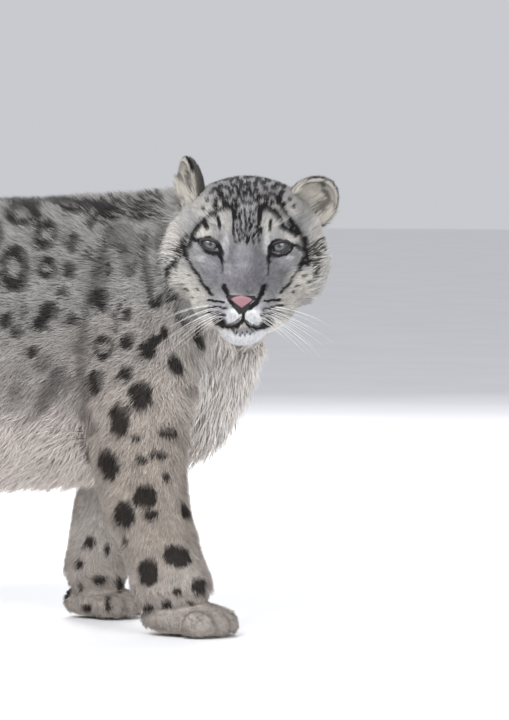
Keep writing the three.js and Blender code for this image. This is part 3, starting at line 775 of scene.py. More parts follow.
bodyStrokes = [
    (2.8, [(89, 223), (92, 215), (100, 207), (110, 202)]), (1.8, [(100, 220), (106, 211), (117, 206)]),
    (1.4, [(145, 229), (142, 252), (144, 277), (150, 302)]), (1.6, [(150, 300), (156, 308), (161, 304), (161, 294)]),
    (1.6, [(162, 235), (161, 255), (163, 276), (170, 292), (184, 301)]), (1.6, [(117, 305), (113, 318), (115, 332)]),
    (2.4, [(197, 332), (203, 350)]), (1.4, [(36, 222), (34, 238), (37, 250)]),
    (1.6, [(0, 195.5), (30, 196.5), (52, 197)]), (2.8, [(52, 197.5), (74, 199), (96, 201)]),
    (1.6, [(60, 206), (76, 210), (88, 205)]), (1.4, [(168, 300), (176, 316), (186, 326)]),
    (1.2, [(104, 234), (101, 252), (94, 276)]),
]
bodyCreaseShadows = [  # painted shadow in the folds between neck, shoulder and leg
    (3.6, [(96, 262), (90, 290), (83, 315), (80, 350), (79, 382), (82, 410), (90, 434)]),
    (2.6, [(107, 226), (101, 252), (94, 276)]), (2.2, [(143, 236), (144, 268), (150, 296)]),
    (5.0, [(40, 410), (58, 372)]), (2.6, [(160, 225), (163, 262), (168, 290)]),
]
napeArea = {
    "left": 100, "right": 160, "top": 184, "bottom": 219, "slope": -0.06, "gap": 7.6, "count": 42, "tries": 3000,
}


def apart(x, y, made, gap):
    return all(math.hypot(x - spot[0], y - spot[1]) > gap for spot in made)


def napeSpots(area):
    made = []
    for _ in range(area["tries"]):
        x, y = rng.uniform(area["left"], area["right"]), rng.uniform(area["top"], area["bottom"])
        inside = y < area["bottom"] + (x - area["left"]) * area["slope"]
        if inside and apart(x, y, made, area["gap"]):
            made.append((x, y, rng.uniform(3.2, 4.8), rng.uniform(2.4, 3.6), rng.uniform(-30, 50)))
    return made[: area["count"]]


bodySpots += napeSpots(napeArea)
legSpots = [
    (119, 426, 9, 12, 10), (169, 435, 9, 5, 10), (107, 466, 10, 15, -20), (141, 461, 7, 4, 0), (158, 456, 9, 4, 5),
    (167, 478, 5, 4, 0), (145, 497, 11, 11, 0), (150, 516, 8, 6, 0), (123, 516, 10, 13, 0), (186, 512, 4, 9, -25),
    (177, 557, 14, 10, 20), (148, 573, 10, 13, -5), (200, 587, 8, 9, 0), (177, 593, 4, 4, 0), (166, 605, 5, 4, 0),
    (148, 610, 5, 4, 0), (192, 604, 4, 3, 0), (136, 440, 5, 4, 0), (124, 543, 3, 4, 0),
]
farLegSpots = [
    (89, 543, 6, 6, 0), (108, 550, 3, 5, 0), (100, 581, 7, 5, 0), (120, 586, 3, 8, 0), (108, 604, 3.5, 8, 0),
    (66, 593, 3, 6, 0), (87, 609, 5, 4, 0), (78, 565, 4, 5, 0), (80, 590, 3, 3, 0), (96, 620, 4, 3, 0),
]
headStrokes = [  # half width and points
    (1.6, [(214, 213), (217, 210), (221, 208), (226, 206.5), (231, 207), (234.5, 211), (234.5, 217)]),
    (0.6, [(234, 217), (233, 224), (232.5, 233)]),
    (1.7, [(260, 218), (259.5, 213), (261, 209), (266, 207), (272, 209), (277, 213), (280, 217), (282.5, 221)]),
    (0.6, [(258.5, 222), (258.5, 233)]),
    (1.7, [(210, 213), (205, 218), (200, 224), (196, 228), (191.5, 235), (190, 241)]),
    (1.4, [(204, 221), (207, 227.5)]), (1.3, [(218, 217), (220, 227)]), (1.0, [(271, 219), (270, 229)]),
    (1.5, [(276, 195), (280, 203)]), (1.5, [(282, 206), (287, 213)]), (1.6, [(289, 216), (294, 223)]),
    (1.6, [(296, 225), (301, 233)]), (1.5, [(303, 236), (305, 244)]), (1.4, [(306, 248), (306, 256)]),
    (1.4, [(304, 259), (301, 266)]), (1.9, [(282.5, 225), (287, 228), (292, 231), (297, 234)]),
    (1.2, [(290, 221), (293, 226)]),
    (1.6, [(189, 243), (185, 250), (186, 257)]), (1.0, [(188, 261), (195, 271), (203, 285), (212, 295)]),
    (1.9, [(183, 247), (181, 252), (177, 258), (172, 265), (167, 272), (165, 280)]),
    (1.2, [(185, 234), (179, 243), (175, 251)]), (0.9, [(165, 284), (170, 294), (177, 304)]),
    (1.5, [(307.5, 237), (310, 250), (308.5, 264)]), (1.3, [(316, 242), (319, 257), (317.5, 275)]),
    (1.0, [(323, 238), (325, 250)]), (0.9, [(305, 262), (298, 271), (290, 283), (281, 293)]),
    (1.1, [(220, 255), (222, 261)]), (0.5, [(222, 261), (221.5, 273)]), (1.1, [(269, 255), (269, 262)]),
    (0.5, [(269, 262), (268, 274)]),
    (1.6, [(223.5, 286), (226, 292), (228.5, 297), (232, 302), (238, 309)]),
    (1.6, [(265, 286), (262.5, 292), (260, 297), (256, 302), (249, 309)]),
    (1.6, [(199, 240.5), (203, 240), (209, 239), (216, 242), (220.5, 248), (221, 254)]),
    (1.5, [(200, 243), (206, 250), (213, 253), (219, 254)]),
    (1.6, [(292, 245), (288, 242.5), (281, 240.5), (274, 243), (270.5, 248), (269.5, 253)]),
    (1.5, [(291, 248), (286, 253.5), (279, 255.5), (272, 254)]),
    (1.0, [(198, 241), (194, 239)]), (1.0, [(293, 245), (298, 245)]), (1.0, [(299, 247), (303, 250)]),
    (1.0, [(243, 314), (243, 321)]), (1.5, [(216, 322), (221, 326), (230, 328), (237, 326), (243, 321)]),
    (1.3, [(243, 321), (249, 326), (257, 328.5), (265, 328), (271, 323)]),
]
headSpotList = [
    (220, 323, 7, 4.5, 20), (267.5, 323.5, 7, 4.5, -20), (185, 290, 2.4, 1.4, 40), (180, 285, 2, 1.3, 40),
    (299, 286, 2.4, 1.4, -30), (310, 282, 2, 1.6, -40), (176, 296, 1.8, 1.2, 40), (305, 276, 1.8, 1.3, -30),
    (192, 298, 1.6, 1.1, 40), (170, 250, 1.4, 3.0, 20), (167, 259, 1.3, 3.0, 15), (207, 199, 2.4, 1.7, -40),
    (203, 208, 2.2, 1.6, -50), (290, 198, 2.4, 1.7, 40), (295, 206, 2.2, 1.6, 45), (211, 191, 2.4, 1.7, -30),
    (188, 275, 1.7, 1.2, 40), (196, 289, 1.8, 1.2, 50), (294, 292, 1.8, 1.2, -40), (303, 270, 1.7, 1.2, -30),
]
whiskerRows = [  # the dark dots that the whiskers stand in: from, to, how many
    ((208, 300), (223, 302), 6), ((209, 306.5), (226, 308.5), 7), ((209, 312.5), (224, 315), 6),
    ((265, 301), (281, 300), 6), ((264, 310), (283, 304.5), 7), ((262.5, 315.5), (280, 312.5), 6),
]
crownArea = {"left": 213, "right": 285, "top": 173, "bottom": 205, "gap": 5.6, "spots": 100, "tries": 4000}
browColumn = {"left": 233.5, "right": 260.5, "top": 209, "bottom": 242, "gap": 3.7, "spots": 34, "tries": 9000}
chinDots = [(233, 331), (237, 332), (242, 333), (247, 332), (252, 331), (235, 334), (245, 335), (250, 334), (240, 335)]
dotSizes = {"chin": (1.1, 1.1), "whisker": (1.8, 1.3)}
tones = {
    "back": fromSrgb(156, 154, 151), "flank": fromSrgb(168, 163, 159), "belly": fromSrgb(238, 226, 218),
    "chest": fromSrgb(246, 238, 230), "leg": fromSrgb(186, 175, 165), "paw": fromSrgb(190, 180, 172),
    "tail": fromSrgb(186, 181, 173), "brow": fromSrgb(160, 159, 158), "ruff": fromSrgb(212, 209, 204),
    "cream": fromSrgb(218, 213, 205), "muzzle": fromSrgb(172, 171, 175), "chin": fromSrgb(252, 253, 255),
    "bridge": fromSrgb(130, 127, 132), "shadow": fromSrgb(131, 130, 135), "mark": fromSrgb(24, 21, 21),
    "earInside": fromSrgb(206, 200, 190), "earBack": fromSrgb(100, 96, 92),
}
tones = {name: np.array(value) for name, value in tones.items()}
headPatches = [  # tone, pixel, half sizes, strength
    ("shadow", (244, 268), (56, 30), 1.0), ("bridge", (244, 282), (15, 18), 0.5),
    ("muzzle", (244, 256), (11, 14), 0.45), ("muzzle", (206, 264), (11, 6), 0.5), ("muzzle", (286, 264), (11, 6), 0.5),
    ("muzzle", (196, 276), (8, 6), 0.4), ("muzzle", (296, 272), (7, 6), 0.4), ("mark", (244, 293), (9, 4), 0.35),
    ("cream", (224, 221), (9, 11), 0.4), ("cream", (269, 223), (9, 10), 0.4), ("chin", (225, 246), (4, 13), 0.3),
    ("chin", (266.5, 244), (4, 12), 0.3), ("cream", (203, 232), (10, 6), 0.7), ("cream", (292, 237), (9, 6), 0.7),
    ("muzzle", (225, 308), (20, 15), 0.9), ("muzzle", (262, 308), (20, 15), 0.9), ("chin", (233, 317), (10, 9), 1.0),
    ("chin", (253, 317), (10, 9), 1.0), ("cream", (182, 284), (19, 17), 1.0), ("cream", (302, 284), (16, 16), 1.0),
    ("cream", (196, 300), (14, 13), 0.9), ("cream", (288, 303), (14, 12), 0.9), ("cream", (172, 240), (9, 20), 0.8),
    ("cream", (319, 250), (9, 26), 0.8), ("chin", (243, 340), (26, 11), 1.0), ("chin", (222, 340), (14, 10), 0.9),
    ("chin", (264, 338), (14, 10), 0.9), ("shadow", (244, 331), (15, 3.5), 0.8), ("bridge", (250, 188), (38, 17), 0.4),
    ("shadow", (244, 226), (12, 18), 0.5), ("cream", (222, 204), (9, 4), 0.5), ("cream", (270, 204), (9, 4), 0.5),
    ("cream", (292, 206), (10, 13), 0.5), ("cream", (202, 206), (11, 15), 0.5), ("chest", (228, 268), (5, 7), 0.15),
    ("chin", (200, 258), (5, 3), 0.3), ("chin", (290, 258), (5, 3), 0.3), ("mark", (244, 284), (7, 7), 0.14),
]


def spotShade(pixels, spots, ring=False):
    shade = np.zeros(len(pixels))
    for x, y, a, b, tilt in spots:
        near = (np.abs(pixels[:, 0] - x) < a + b) & (np.abs(pixels[:, 1] - y) < a + b)
        offset = pixels[near] - (x, y)
        across, down = tilted(offset[:, 0], offset[:, 1], degrees(tilt))
        reach = np.hypot(across / a, down / b)
        value = 1 - smoothStep(reach, 0.8, 1.3)
        if ring:
            value *= smoothStep(reach, 0.3, 0.66)
        shade[near] = np.maximum(shade[near], value)
    return shade


def strokeShade(pixels, strokes):
    shade = np.zeros(len(pixels))
    for half, line in strokes:
        low = np.min(line, axis=0) - 6
        high = np.max(line, axis=0) + 6
        near = np.all((pixels > low) & (pixels < high), axis=1)
        if near.any():
            d = polyDistance(pixels[near], line)
            shade[near] = np.maximum(shade[near], 1 - smoothStep(d, half * 0.9, half * 2.1))
    return shade


def crownSpots():
    # scattered over the crown, then in a column between the brows, then the dots of chin and muzzle
    made = []
    tries = 0
    while len(made) < crownArea["spots"] and tries < crownArea["tries"]:
        tries += 1
        x = rng.uniform(crownArea["left"], crownArea["right"])
        y = rng.uniform(crownArea["top"], crownArea["bottom"])
        inside = y > 182 + abs(x - 248) * 0.1 - 8
        if inside and apart(x, y, made, crownArea["gap"]):
            made.append((x, y, rng.uniform(2.6, 3.6), rng.uniform(2.0, 2.8), rng.uniform(-35, 35)))
    while len(made) < crownArea["spots"] + browColumn["spots"] and tries < browColumn["tries"]:
        tries += 1
        x = rng.uniform(browColumn["left"], browColumn["right"])
        y = rng.uniform(browColumn["top"], browColumn["bottom"])
        if apart(x, y, made, browColumn["gap"]):
            made.append((x, y, rng.uniform(1.2, 1.7), rng.uniform(1.6, 2.3), rng.uniform(-15, 15)))
    made += [(x, y, *dotSizes["chin"], 0) for x, y in chinDots]
    for start, end, count in whiskerRows:
        made += [(x, y, *dotSizes["whisker"], 0) for x, y in np.linspace(start, end, count)]
    return made + headSpotList


headSpots = crownSpots()


def isShown(points, normals):
    pixels = inPhoto(points)
    across = pixels[:, 0]
    inFrame = (across > -view["beyondLeft"]) & (across < photoWidth + view["beyondRight"])
    return (normals @ viewBack > view["edgeOn"]) & inFrame, pixels


# Elsewhere the rosettes are scattered by rule: open ones on the flanks and tail, small solid ones on the rest.
scatter = {  # gaps between spots, and the gap from which they are open
    "flank": 52, "leg": 33, "tail": 38, "neck": 24, "paw": 20, "openFrom": 36, "neckFrom": 70, "tries": 15000,
}


def scatteredSpots(vertices, normals, found):
    part = shares(found)
    hidden = ~isShown(vertices, normals)[0]
    low = lowness(vertices)
    legShare, pawShare = limbShares(part)
    gap = np.full(len(vertices), float(scatter["flank"]))
    gap[legShare > 0.5] = scatter["leg"]
    gap[pawShare > 0.5] = scatter["paw"]
    gap[part["tail"] > 0.5] = scatter["tail"]
    gap[(part["head"] > 0.5) | (vertices[:, 0] > scatter["neckFrom"])] = scatter["neck"]
    allowed = hidden & ((low < 0.72) | (part["trunk"] < 0.5))
    chosen = []
    places = np.zeros((0, 3))
    gaps = np.zeros(0)
    for i in rng.permutation(np.flatnonzero(allowed))[: scatter["tries"]]:
        if len(places) == 0 or np.all(np.linalg.norm(places - vertices[i], axis=1) > (gaps + gap[i]) / 2):
            chosen.append(i)
            places = vertices[chosen]
            gaps = gap[chosen]
    made = []
    for i in chosen:
        ring = gap[i] > scatter["openFrom"]
        size = gap[i] * rng.uniform(0.33, 0.45) if ring else gap[i] * rng.uniform(0.26, 0.36)
        made.append((vertices[i], normals[i], size, rng.uniform(0.7, 1.0), rng.uniform(0, 3.1), ring))
    return made


def scatteredShade(points, spots):
    shade = np.zeros(len(points))
    order = np.argsort(points[:, 0])
    sortedX = points[order, 0]
    for middle, normal, size, flat, lean, ring in spots:
        reach = size * 1.3 + 14
        span = order[np.searchsorted(sortedX, middle[0] - reach): np.searchsorted(sortedX, middle[0] + reach)]
        offset = points[span] - middle
        near = np.linalg.norm(offset, axis=1) < reach
        span, offset = span[near], offset[near]
        first = unit(np.cross(normal, (0.3, 0.2, 1.0)))
        second = np.cross(normal, first)
        across, down = tilted(offset @ first, offset @ second, lean)
        across, down = across / size, down / (size * flat)
        away = np.hypot(across, down)
        value = 1 - smoothStep(away, 0.8, 1.12)
        if ring:
            broken = np.sin(np.arctan2(down, across) * 3 + lean * 5) * 0.5 + 0.5
            value *= smoothStep(away, 0.42, 0.68) * (0.45 + 0.55 * smoothStep(broken, 0.05, 0.3))
            value = np.maximum(value, 0.22 * (1 - smoothStep(away, 0.5, 0.9)))
        shade[span] = np.maximum(shade[span], value)
    return shade


def over(base, tone, amount):
    return base + (tones[tone] - base) * amount[:, None]


markForm = {  # how dark the weaker marks and the painted crease shadows are, how torn their edges, and how much sharper and darker on the head
    "faint": 0.45, "creaseShadow": 0.62, "lowFade": 0.8, "headRagged": 0.42, "torn": 0.7, "headTorn": 0.3,
    "soft": 0.16, "full": 0.56, "headSharper": 0.14, "strength": 0.93, "headDarker": 0.05,
}


def coatColour(points, normals, found, spots):
    # tones by part, then the marks: from the photo where it shows the point, scattered ones elsewhere
    part = shares(found)
    low = lowness(points)
    local = toHead(points)
    shown, pixels = isShown(points, normals)
    ragged = (np.stack([noise(points, 7, 3), noise(points, 7, 4)], 1) - 0.5) * 4.4
    ragged += (np.stack([noise(points, 2.6, 5), noise(points, 2.6, 6)], 1) - 0.5) * 2.2
    onHead = part["head"] > 0.5
    pixels = pixels + ragged * np.where(onHead, markForm["headRagged"], 1.0)[:, None]
    colour = np.tile(tones["back"], (len(points), 1))
    colour = over(colour, "flank", smoothStep(low, 0.25, 0.62))
    colour = over(colour, "belly", smoothStep(low, 0.6, 0.9))
    colour = over(colour, "chest", smoothStep(points[:, 0], 60, 110) * smoothStep(-points[:, 2], -400, -330))
    for name in legs:
        inner = smoothStep(-normals[:, 1] * np.sign(legs[name][0][2]), 0.1, 0.8)
        colour = over(colour, "leg", part[name])
        colour = over(colour, "chest", part[name] * inner * 0.8)
        colour = over(colour, "paw", part[name + "Paw"])
    colour = over(colour, "tail", part["tail"])
    colour = over(colour, "belly", part["tail"] * smoothStep(-normals[:, 2], 0.3, 0.9) * 0.6)
    face = part["head"]
    headTone = np.tile(tones["brow"], (len(points), 1))
    headTone = over(headTone, "ruff", smoothStep(np.abs(local[:, 1]), 62, 92))
    headTone = over(headTone, "chest", smoothStep(-local[:, 2], 70, 100))
    front = smoothStep(normals @ headTurn[:, 0], -0.25, 0.15)
    for tone, (x, y), (a, b), strength in headPatches:
        reach = np.hypot((pixels[:, 0] - x) / a, (pixels[:, 1] - y) / b)
        headTone = over(headTone, tone, strength * front * (1 - smoothStep(reach, 0.5, 1.3)))
    colour = colour + (headTone - colour) * face[:, None]
    shade = np.zeros(len(points))
    farLeg = part["foreLeft"] + part["foreLeftPaw"]
    nearSide = shown & ~onHead & (farLeg < 0.5)
    far = shown & (farLeg > 0.5)
    faceShown = shown & onHead
    shade[nearSide] = np.maximum(spotShade(pixels[nearSide], bodySpots + legSpots),
                                 spotShade(pixels[nearSide], bodyRings, ring=True))
    shade[nearSide] = np.maximum(shade[nearSide], strokeShade(pixels[nearSide], bodyStrokes))
    # faint holds the faint grey marks and the painted shadow along the creases
    faint = np.zeros(len(points))
    faint[nearSide] = np.maximum(markForm["faint"] * spotShade(pixels[nearSide], bodyFaint),
                                 markForm["creaseShadow"] * strokeShade(pixels[nearSide], bodyCreaseShadows))
    shade[far] = spotShade(pixels[far], farLegSpots)
    shade[faceShown] = np.maximum(strokeShade(pixels[faceShown], headStrokes),
                                  spotShade(pixels[faceShown], headSpots))
    rest = ~shown
    fade = markForm["lowFade"] * (smoothStep(low, 0.62, 0.8) * part["trunk"])[rest]
    shade[rest] = scatteredShade(points[rest], spots) * (1 - fade)
    mottle = 0.8 + 0.24 * noise(points, 16, 8) + 0.5 * (noise(points, 4.5, 9) - 0.35) * (1 - 0.6 * face)
    mottle += face * 0.5 * (noise(points, 2.4, 13) - 0.5)
    colour = colour * mottle[:, None]
    torn = (noise(points, 3.4, 10) - 0.5) * np.where(onHead, markForm["headTorn"], markForm["torn"])
    full = markForm["full"] - markForm["headSharper"] * onHead
    shade = np.maximum(smoothStep(shade + torn, markForm["soft"], full) * (shade > 0.02), faint)
    return over(colour, "mark", shade * (markForm["strength"] + markForm["headDarker"] * onHead))


skinNormals = unit(slopeOf(skinDistance, skinVertices))
skinParts = parts(skinVertices)
wildSpots = scatteredSpots(skinVertices, skinNormals, skinParts)
skinColour = coatColour(skinVertices, skinNormals, skinParts, wildSpots)
skinShade = {"skin": 0.8, "ear": 0.7}  # painted shade: the skin under the hair is darkened, as the coat over it shades it
skin = meshFrom("skin", skinVertices, skinFaces, skinMaterial, {"coatColour": skinColour * skinShade["skin"]})
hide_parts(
    "torso", "neck", "head", "foreleg_right", "foreleg_left", "hindleg_right", "hindleg_left",
    "forepaw_right", "forepaw_left", "hindpaw_right", "hindpaw_left", "tail_root", "tail_middle", "tail_end",
)
print("markings:", len(wildSpots), "scattered spots")

# Coat: thin blades rooted in the skin and laid along the hair; how many stand on a square millimetre, how long
# and how wide they are.
coatForm = {
    "density": {
        "trunk": 0.25, "belly": 0.11, "leg": 0.34, "paw": 0.4, "tail": 0.1, "head": 0.75, "ruff": 0.28, "muzzle": 0.9,
    },
    "length": {
        "trunk": 10.5, "belly": 50, "leg": 8.5, "paw": 7, "tail": 36, "head": 5.5, "ruff": 23, "muzzle": 3.6,
    },
    "half": {
        "trunk": 0.78, "belly": 0.9, "leg": 0.74, "paw": 0.7, "tail": 1.1, "head": 0.62, "ruff": 0.74, "muzzle": 0.5,
    },
    "swirl": 0.95, "stray": 0.3, "bentOver": 21, "tint": (0.76, 1.22), "colouredAt": (0.15, 0.5, 0.9),
    "floorGap": 0.6, "tipGap": 2.0,
}
bald = {  # no hair grows round the eyes, on the nose, along the lips and under the feet
    "eyeStretch": (1.3, 1.15, 0.8), "eye": 17.5, "noseAt": (118, 0, -60), "noseSize": (24, 20, 12), "lips": 3.0,
    "soleFacing": -0.7, "soleHigh": 14,
}


def fan(faces):
    return np.array([(f[0], f[i], f[i + 1]) for f in faces for i in range(1, len(f) - 1)])


def perPart(points, table, part):
    # blends a table's values by the parts that the points belong to
    local = toHead(points)
    muzzle = part["head"] * smoothStep(local[:, 0], 58, 92)
    sides = smoothStep(-local[:, 0], -34, 4) * smoothStep(-local[:, 2], -36, -6)
    ruff = part["head"] * np.maximum(sides, smoothStep(np.abs(local[:, 1]), 62, 84) * (local[:, 0] < 45))
    head = part["head"] - np.maximum(muzzle, ruff)
    trunkValue = np.full(len(points), float(table["trunk"]))
    if "belly" in table:
        trunkValue += (table["belly"] - table["trunk"]) * smoothStep(lowness(points), 0.62, 0.92)
    legShare, pawShare = limbShares(part)
    return (
        part["trunk"] * trunkValue + legShare * table["leg"] + pawShare * table["paw"] + part["tail"] * table["tail"]
        + head * table["head"] + np.where(muzzle > ruff, muzzle * table["muzzle"], ruff * table["ruff"])
    )


def lieAt(points, normals, part):
    # the way the hair lies: back and down the body, down the legs, along the tail, out from the nose
    low = lowness(points)
    breast = smoothStep(points[:, 0], 30, 110)
    drop = 0.3 + 0.9 * smoothStep(low, 0.3, 0.9)
    trunkLie = np.stack([-1 + 0.75 * breast, np.zeros(len(points)), -drop - 0.6 * breast], 1)
    lie = unit(trunkLie) * part["trunk"][:, None]
    for name in legs:
        lie += np.array([-0.12, 0, -1]) * part[name][:, None]
        lie += np.array([0.75, 0, -0.6]) * part[name + "Paw"][:, None]
    onTail = part["tail"] > 0.02
    if onTail.any():
        lie[onTail] += alongTail(points[onTail])[2] * part["tail"][onTail][:, None]
    local = toHead(points)
    away = local - (122, 0, -56)
    away = np.stack([away[:, 0] * 0.6 - 18, away[:, 1] * 1.2, away[:, 2] - 8], 1)
    lie += unit(away) @ headTurn.T * part["head"][:, None]
    side = np.cross(normals, lie)
    swirl = (noise(points, 24, 11) + noise(points, 9, 12) - 1) * coatForm["swirl"]
    swirl = (swirl + rng.normal(0, coatForm["stray"], len(points))) * (1 - 0.65 * part["head"])
    lie = lie + side * swirl[:, None]
    lie = lie - normals * (lie * normals).sum(axis=1, keepdims=True)
    return unit(lie)


def rootsOn(vertices, normals, triangles, density):
    # random places on a surface, with their normals
    a, b, c = (vertices[triangles[:, k]] for k in range(3))
    area = np.linalg.norm(np.cross(b - a, c - a), axis=1) / 2
    expected = area * density
    count = np.floor(expected + rng.random(len(expected))).astype(int)
    which = np.repeat(np.arange(len(triangles)), count)
    u, v = rng.random(len(which)), rng.random(len(which))
    flip = u + v > 1
    u, v = np.where(flip, 1 - u, u)[:, None], np.where(flip, 1 - v, v)[:, None]
    chosen = triangles[which]
    mix = lambda values: values[chosen[:, 0]] * (1 - u - v) + values[chosen[:, 1]] * u + values[chosen[:, 2]] * v
    return mix(vertices), unit(mix(normals))


def bladeLine(roots, normals, lie, length, rise, share):
    lift = (rise + 1.0) * (1 - (1 - share) ** 2) - 1.0
    return roots + normals * lift[:, None] + lie * (length * share)[:, None]


straightBlade = {  # share of the length, side, lift and size of each point, then the faces; shade darkens each blade towards its root as painted shade of the hair round it, and lifts its tip a little
    "points": [(0, 1, -0.25, 1), (0, 0, 0.6, 1), (0, -1, -0.25, 1), (1, 0, 0, 0)],
    "faces": [(0, 3, 1), (1, 3, 2), (2, 3, 0)], "shade": [0.66, 0.66, 0.66, 1.08],
    "patch": [(0, 0), (0.5, 0), (1, 0), (0.5, 1)],
}
bentBlade = {
    "points": [
        (0, 1, -0.25, 0.9), (0, 0, 0.5, 0.9), (0, -1, -0.25, 0.9),
        (0.5, 1, -0.25, 1), (0.5, 0, 0.5, 1), (0.5, -1, -0.25, 1), (1, 0, 0, 0),
    ],
    "faces": [(0, 3, 4, 1), (1, 4, 5, 2), (2, 5, 3, 0), (3, 6, 4), (4, 6, 5), (5, 6, 3)],
    "shade": [0.62, 0.62, 0.62, 0.95, 0.95, 0.95, 1.06],
    "patch": [(0, 0), (0.5, 0), (1, 0), (0, 0.5), (0.5, 0.5), (1, 0.5), (0.5, 1)],
}


def blades(kind, roots, normals, lie, length, rise, half, colours, unwrapped):
    # points, colours, facings and places in the unwrap of many blades, and their faces
    count = len(roots)
    across = np.cross(lie, normals)
    across = unit(across + normals * rng.uniform(-0.5, 0.5, count)[:, None])
    flat = np.cross(across, lie)
    stops = (0.0, 0.5, 1.0)
    middles = {share: bladeLine(roots, normals, lie, length, rise, share) for share in stops}
    tints = dict(zip(stops, colours))
    rows, facing, paint = [], [], []
    for (share, side, up, size), shade in zip(kind["points"], kind["shade"]):
        width = (half * size)[:, None]
        rows.append(middles[share] + across * width * side + flat * width * up)
        facing.append(unit(normals + across * side * 0.4 + lie * 0.2 * share))
        # painted shade: each point's colour is darkened towards the blade's root
        paint.append(tints[share] * shade)
    start = np.arange(count)[:, None] * len(rows)
    flatFaces = np.array([corner for face in kind["faces"] for corner in face])
    corners = (start + flatFaces).ravel()
    sizes = np.tile([len(face) for face in kind["faces"]], count)
    places = unwrapped[:, None, :] * 0.994 + 0.003 * np.array(kind["patch"])[None]
    join = lambda values: np.stack(values, 1).reshape(-1, 3)
    return join(rows), join(paint), join(facing), places.reshape(-1, 2), corners, sizes


def tuftMesh(name, roots, normals, lie, length, rise, half, colours, unwrapped):
    # short hair stands in straight blades, long hair in bent ones; each blade roots in the skin
    long = length > coatForm["bentOver"]
    made = []
    for kind, mine in ((straightBlade, ~long), (bentBlade, long)):
        if mine.any():
            made.append(blades(kind, roots[mine], normals[mine], lie[mine], length[mine], rise[mine], half[mine],
                               [c[mine] for c in colours], unwrapped[mine]))
    offsets = np.cumsum([0] + [len(m[0]) for m in made])
    vertices, colour, facing, places = (np.concatenate([m[k] for m in made]) for k in range(4))
    vertices[:, 2] = np.maximum(vertices[:, 2], coatForm["floorGap"])
    corners = np.concatenate([m[4] + offset for m, offset in zip(made, offsets)])
    sizes = np.concatenate([m[5] for m in made])
    mesh = newMesh(name, vertices, corners, sizes, {"coatColour": np.clip(colour, 0, 1)})
    mesh.uv_layers.new(name="OFBake").data.foreach_set("uv", places[corners].astype(np.float32).ravel())
    mesh.validate()
    mesh.normals_split_custom_set_from_vertices(facing.tolist())
    piece = addPiece(name, mesh, coatMaterial)
    print("coat", name, len(roots), "blades,", int((sizes - 2).sum()), "triangles")


def turnOf(a, b):
    return np.arctan2(a, b) / (2 * math.pi) + 0.5


def unwrap(points, region):
    # each region is rolled out round its own axis
    if region == "tail":
        _, share, _ = alongTail(points)
        stations = np.linspace(0, 1, len(tailLine))
        spine = np.stack([np.interp(share, stations, tailLine[:, k]) for k in range(3)], 1)
        offset = points - spine
        return np.stack([turnOf(offset[:, 1], offset[:, 2] - offset[:, 0]), share], 1)
    if region.startswith(("face", "crown")):
        local = toHead(points) - (10, 0, -20)
        polar = np.arccos(np.clip(unit(local)[:, 0], -1, 1)) / math.pi
        return np.stack([turnOf(local[:, 1], local[:, 2]), polar], 1)
    if region in legs:
        table = np.array(legs[region], float)
        x, y = (through(table[:, 0], table[:, k], points[:, 2]) for k in (1, 2))
        return np.stack([turnOf(points[:, 0] - x, points[:, 1] - y), np.clip(points[:, 2] / 480, 0, 1)], 1)
    top, bottom = trunkAt(points, "top", "bottom")
    around = turnOf(points[:, 1], points[:, 2] - (top + bottom) / 2)
    return np.stack([around, np.clip((points[:, 0] + 660) / 860, 0, 1)], 1)


def regionOf(points, part):
    # the piece of coat that each point belongs to
    side = np.where(points[:, 1] < 0, "Right", "Left")
    stations = {"Front": 20, "Ribs": -160, "Loin": -370}
    station = np.select([points[:, 0] > x for x in stations.values()], list(stations), "Rump")
    region = np.char.add(np.char.add("trunk", station.astype(str)), side)
    for name in legs:
        region[part[name] + part[name + "Paw"] > 0.5] = name
    region[part["tail"] > 0.5] = "tail"
    local = toHead(points)
    headSide = np.where(local[:, 1] < 0, "faceRight", "faceLeft")
    headSide[local[:, 0] < 20] = "crown"
    onHead = part["head"] > 0.5
    region[onHead] = headSide[onHead]
    return region


def growCoat():
    triangles = fan(skinFaces)
    middles = skinVertices[triangles].mean(axis=1)
    density = perPart(middles, coatForm["density"], shares(parts(middles)))
    roots, normals = rootsOn(skinVertices, skinNormals, triangles, density)
    half = folded(toHead(roots))
    lids = np.linalg.norm((half - eye["at"]) / bald["eyeStretch"], axis=1) < bald["eye"]
    nosePad = np.linalg.norm((half - bald["noseAt"]) / bald["noseSize"], axis=1) < 1
    lips = polyDistance(half, mouthLine) < bald["lips"]
    sole = (normals[:, 2] < bald["soleFacing"]) & (roots[:, 2] < bald["soleHigh"])
    keep = ~(lids | nosePad | lips | sole)
    roots, normals = roots[keep], normals[keep]
    found = parts(roots)
    part = shares(found)
    lie = lieAt(roots, normals, part)
    uneven = 0.75 + 0.5 * noise(roots, 14, 21)
    length = perPart(roots, coatForm["length"], part) * uneven * rng.uniform(0.8, 1.15, len(roots))
    rise = depthAt(roots, part) * (0.85 + 0.25 * noise(roots, 11, 22)) * rng.uniform(0.75, 1.1, len(roots))
    half = perPart(roots, coatForm["half"], part) * rng.uniform(0.75, 1.25, len(roots))
    tip = roots + normals * rise[:, None] + lie * length[:, None]
    fall = np.minimum(lie[:, 2] * length + normals[:, 2] * rise, -1e-3)
    under = np.minimum((tip[:, 2] - coatForm["tipGap"]) / fall, 0)
    low = tip[:, 2] < coatForm["tipGap"]
    length[low] *= np.clip(1 + under[low], 0.2, 1)  # blades that would pass the floor are shorter
    rise[low] *= np.clip(1 + under[low], 0.2, 1)
    tint = rng.uniform(*coatForm["tint"], len(roots))[:, None]
    colours = []
    for share in coatForm["colouredAt"]:
        at = bladeLine(roots, normals, lie, length, rise, share)
        colours.append(coatColour(at, normals, found, wildSpots) * tint)
    region = regionOf(roots, part)
    for name in sorted(set(region)):
        mine = region == name
        tuftMesh("coat_" + name, roots[mine], normals[mine], lie[mine], length[mine], rise[mine],
                 half[mine], [c[mine] for c in colours], unwrap(roots[mine], name))


growCoat()

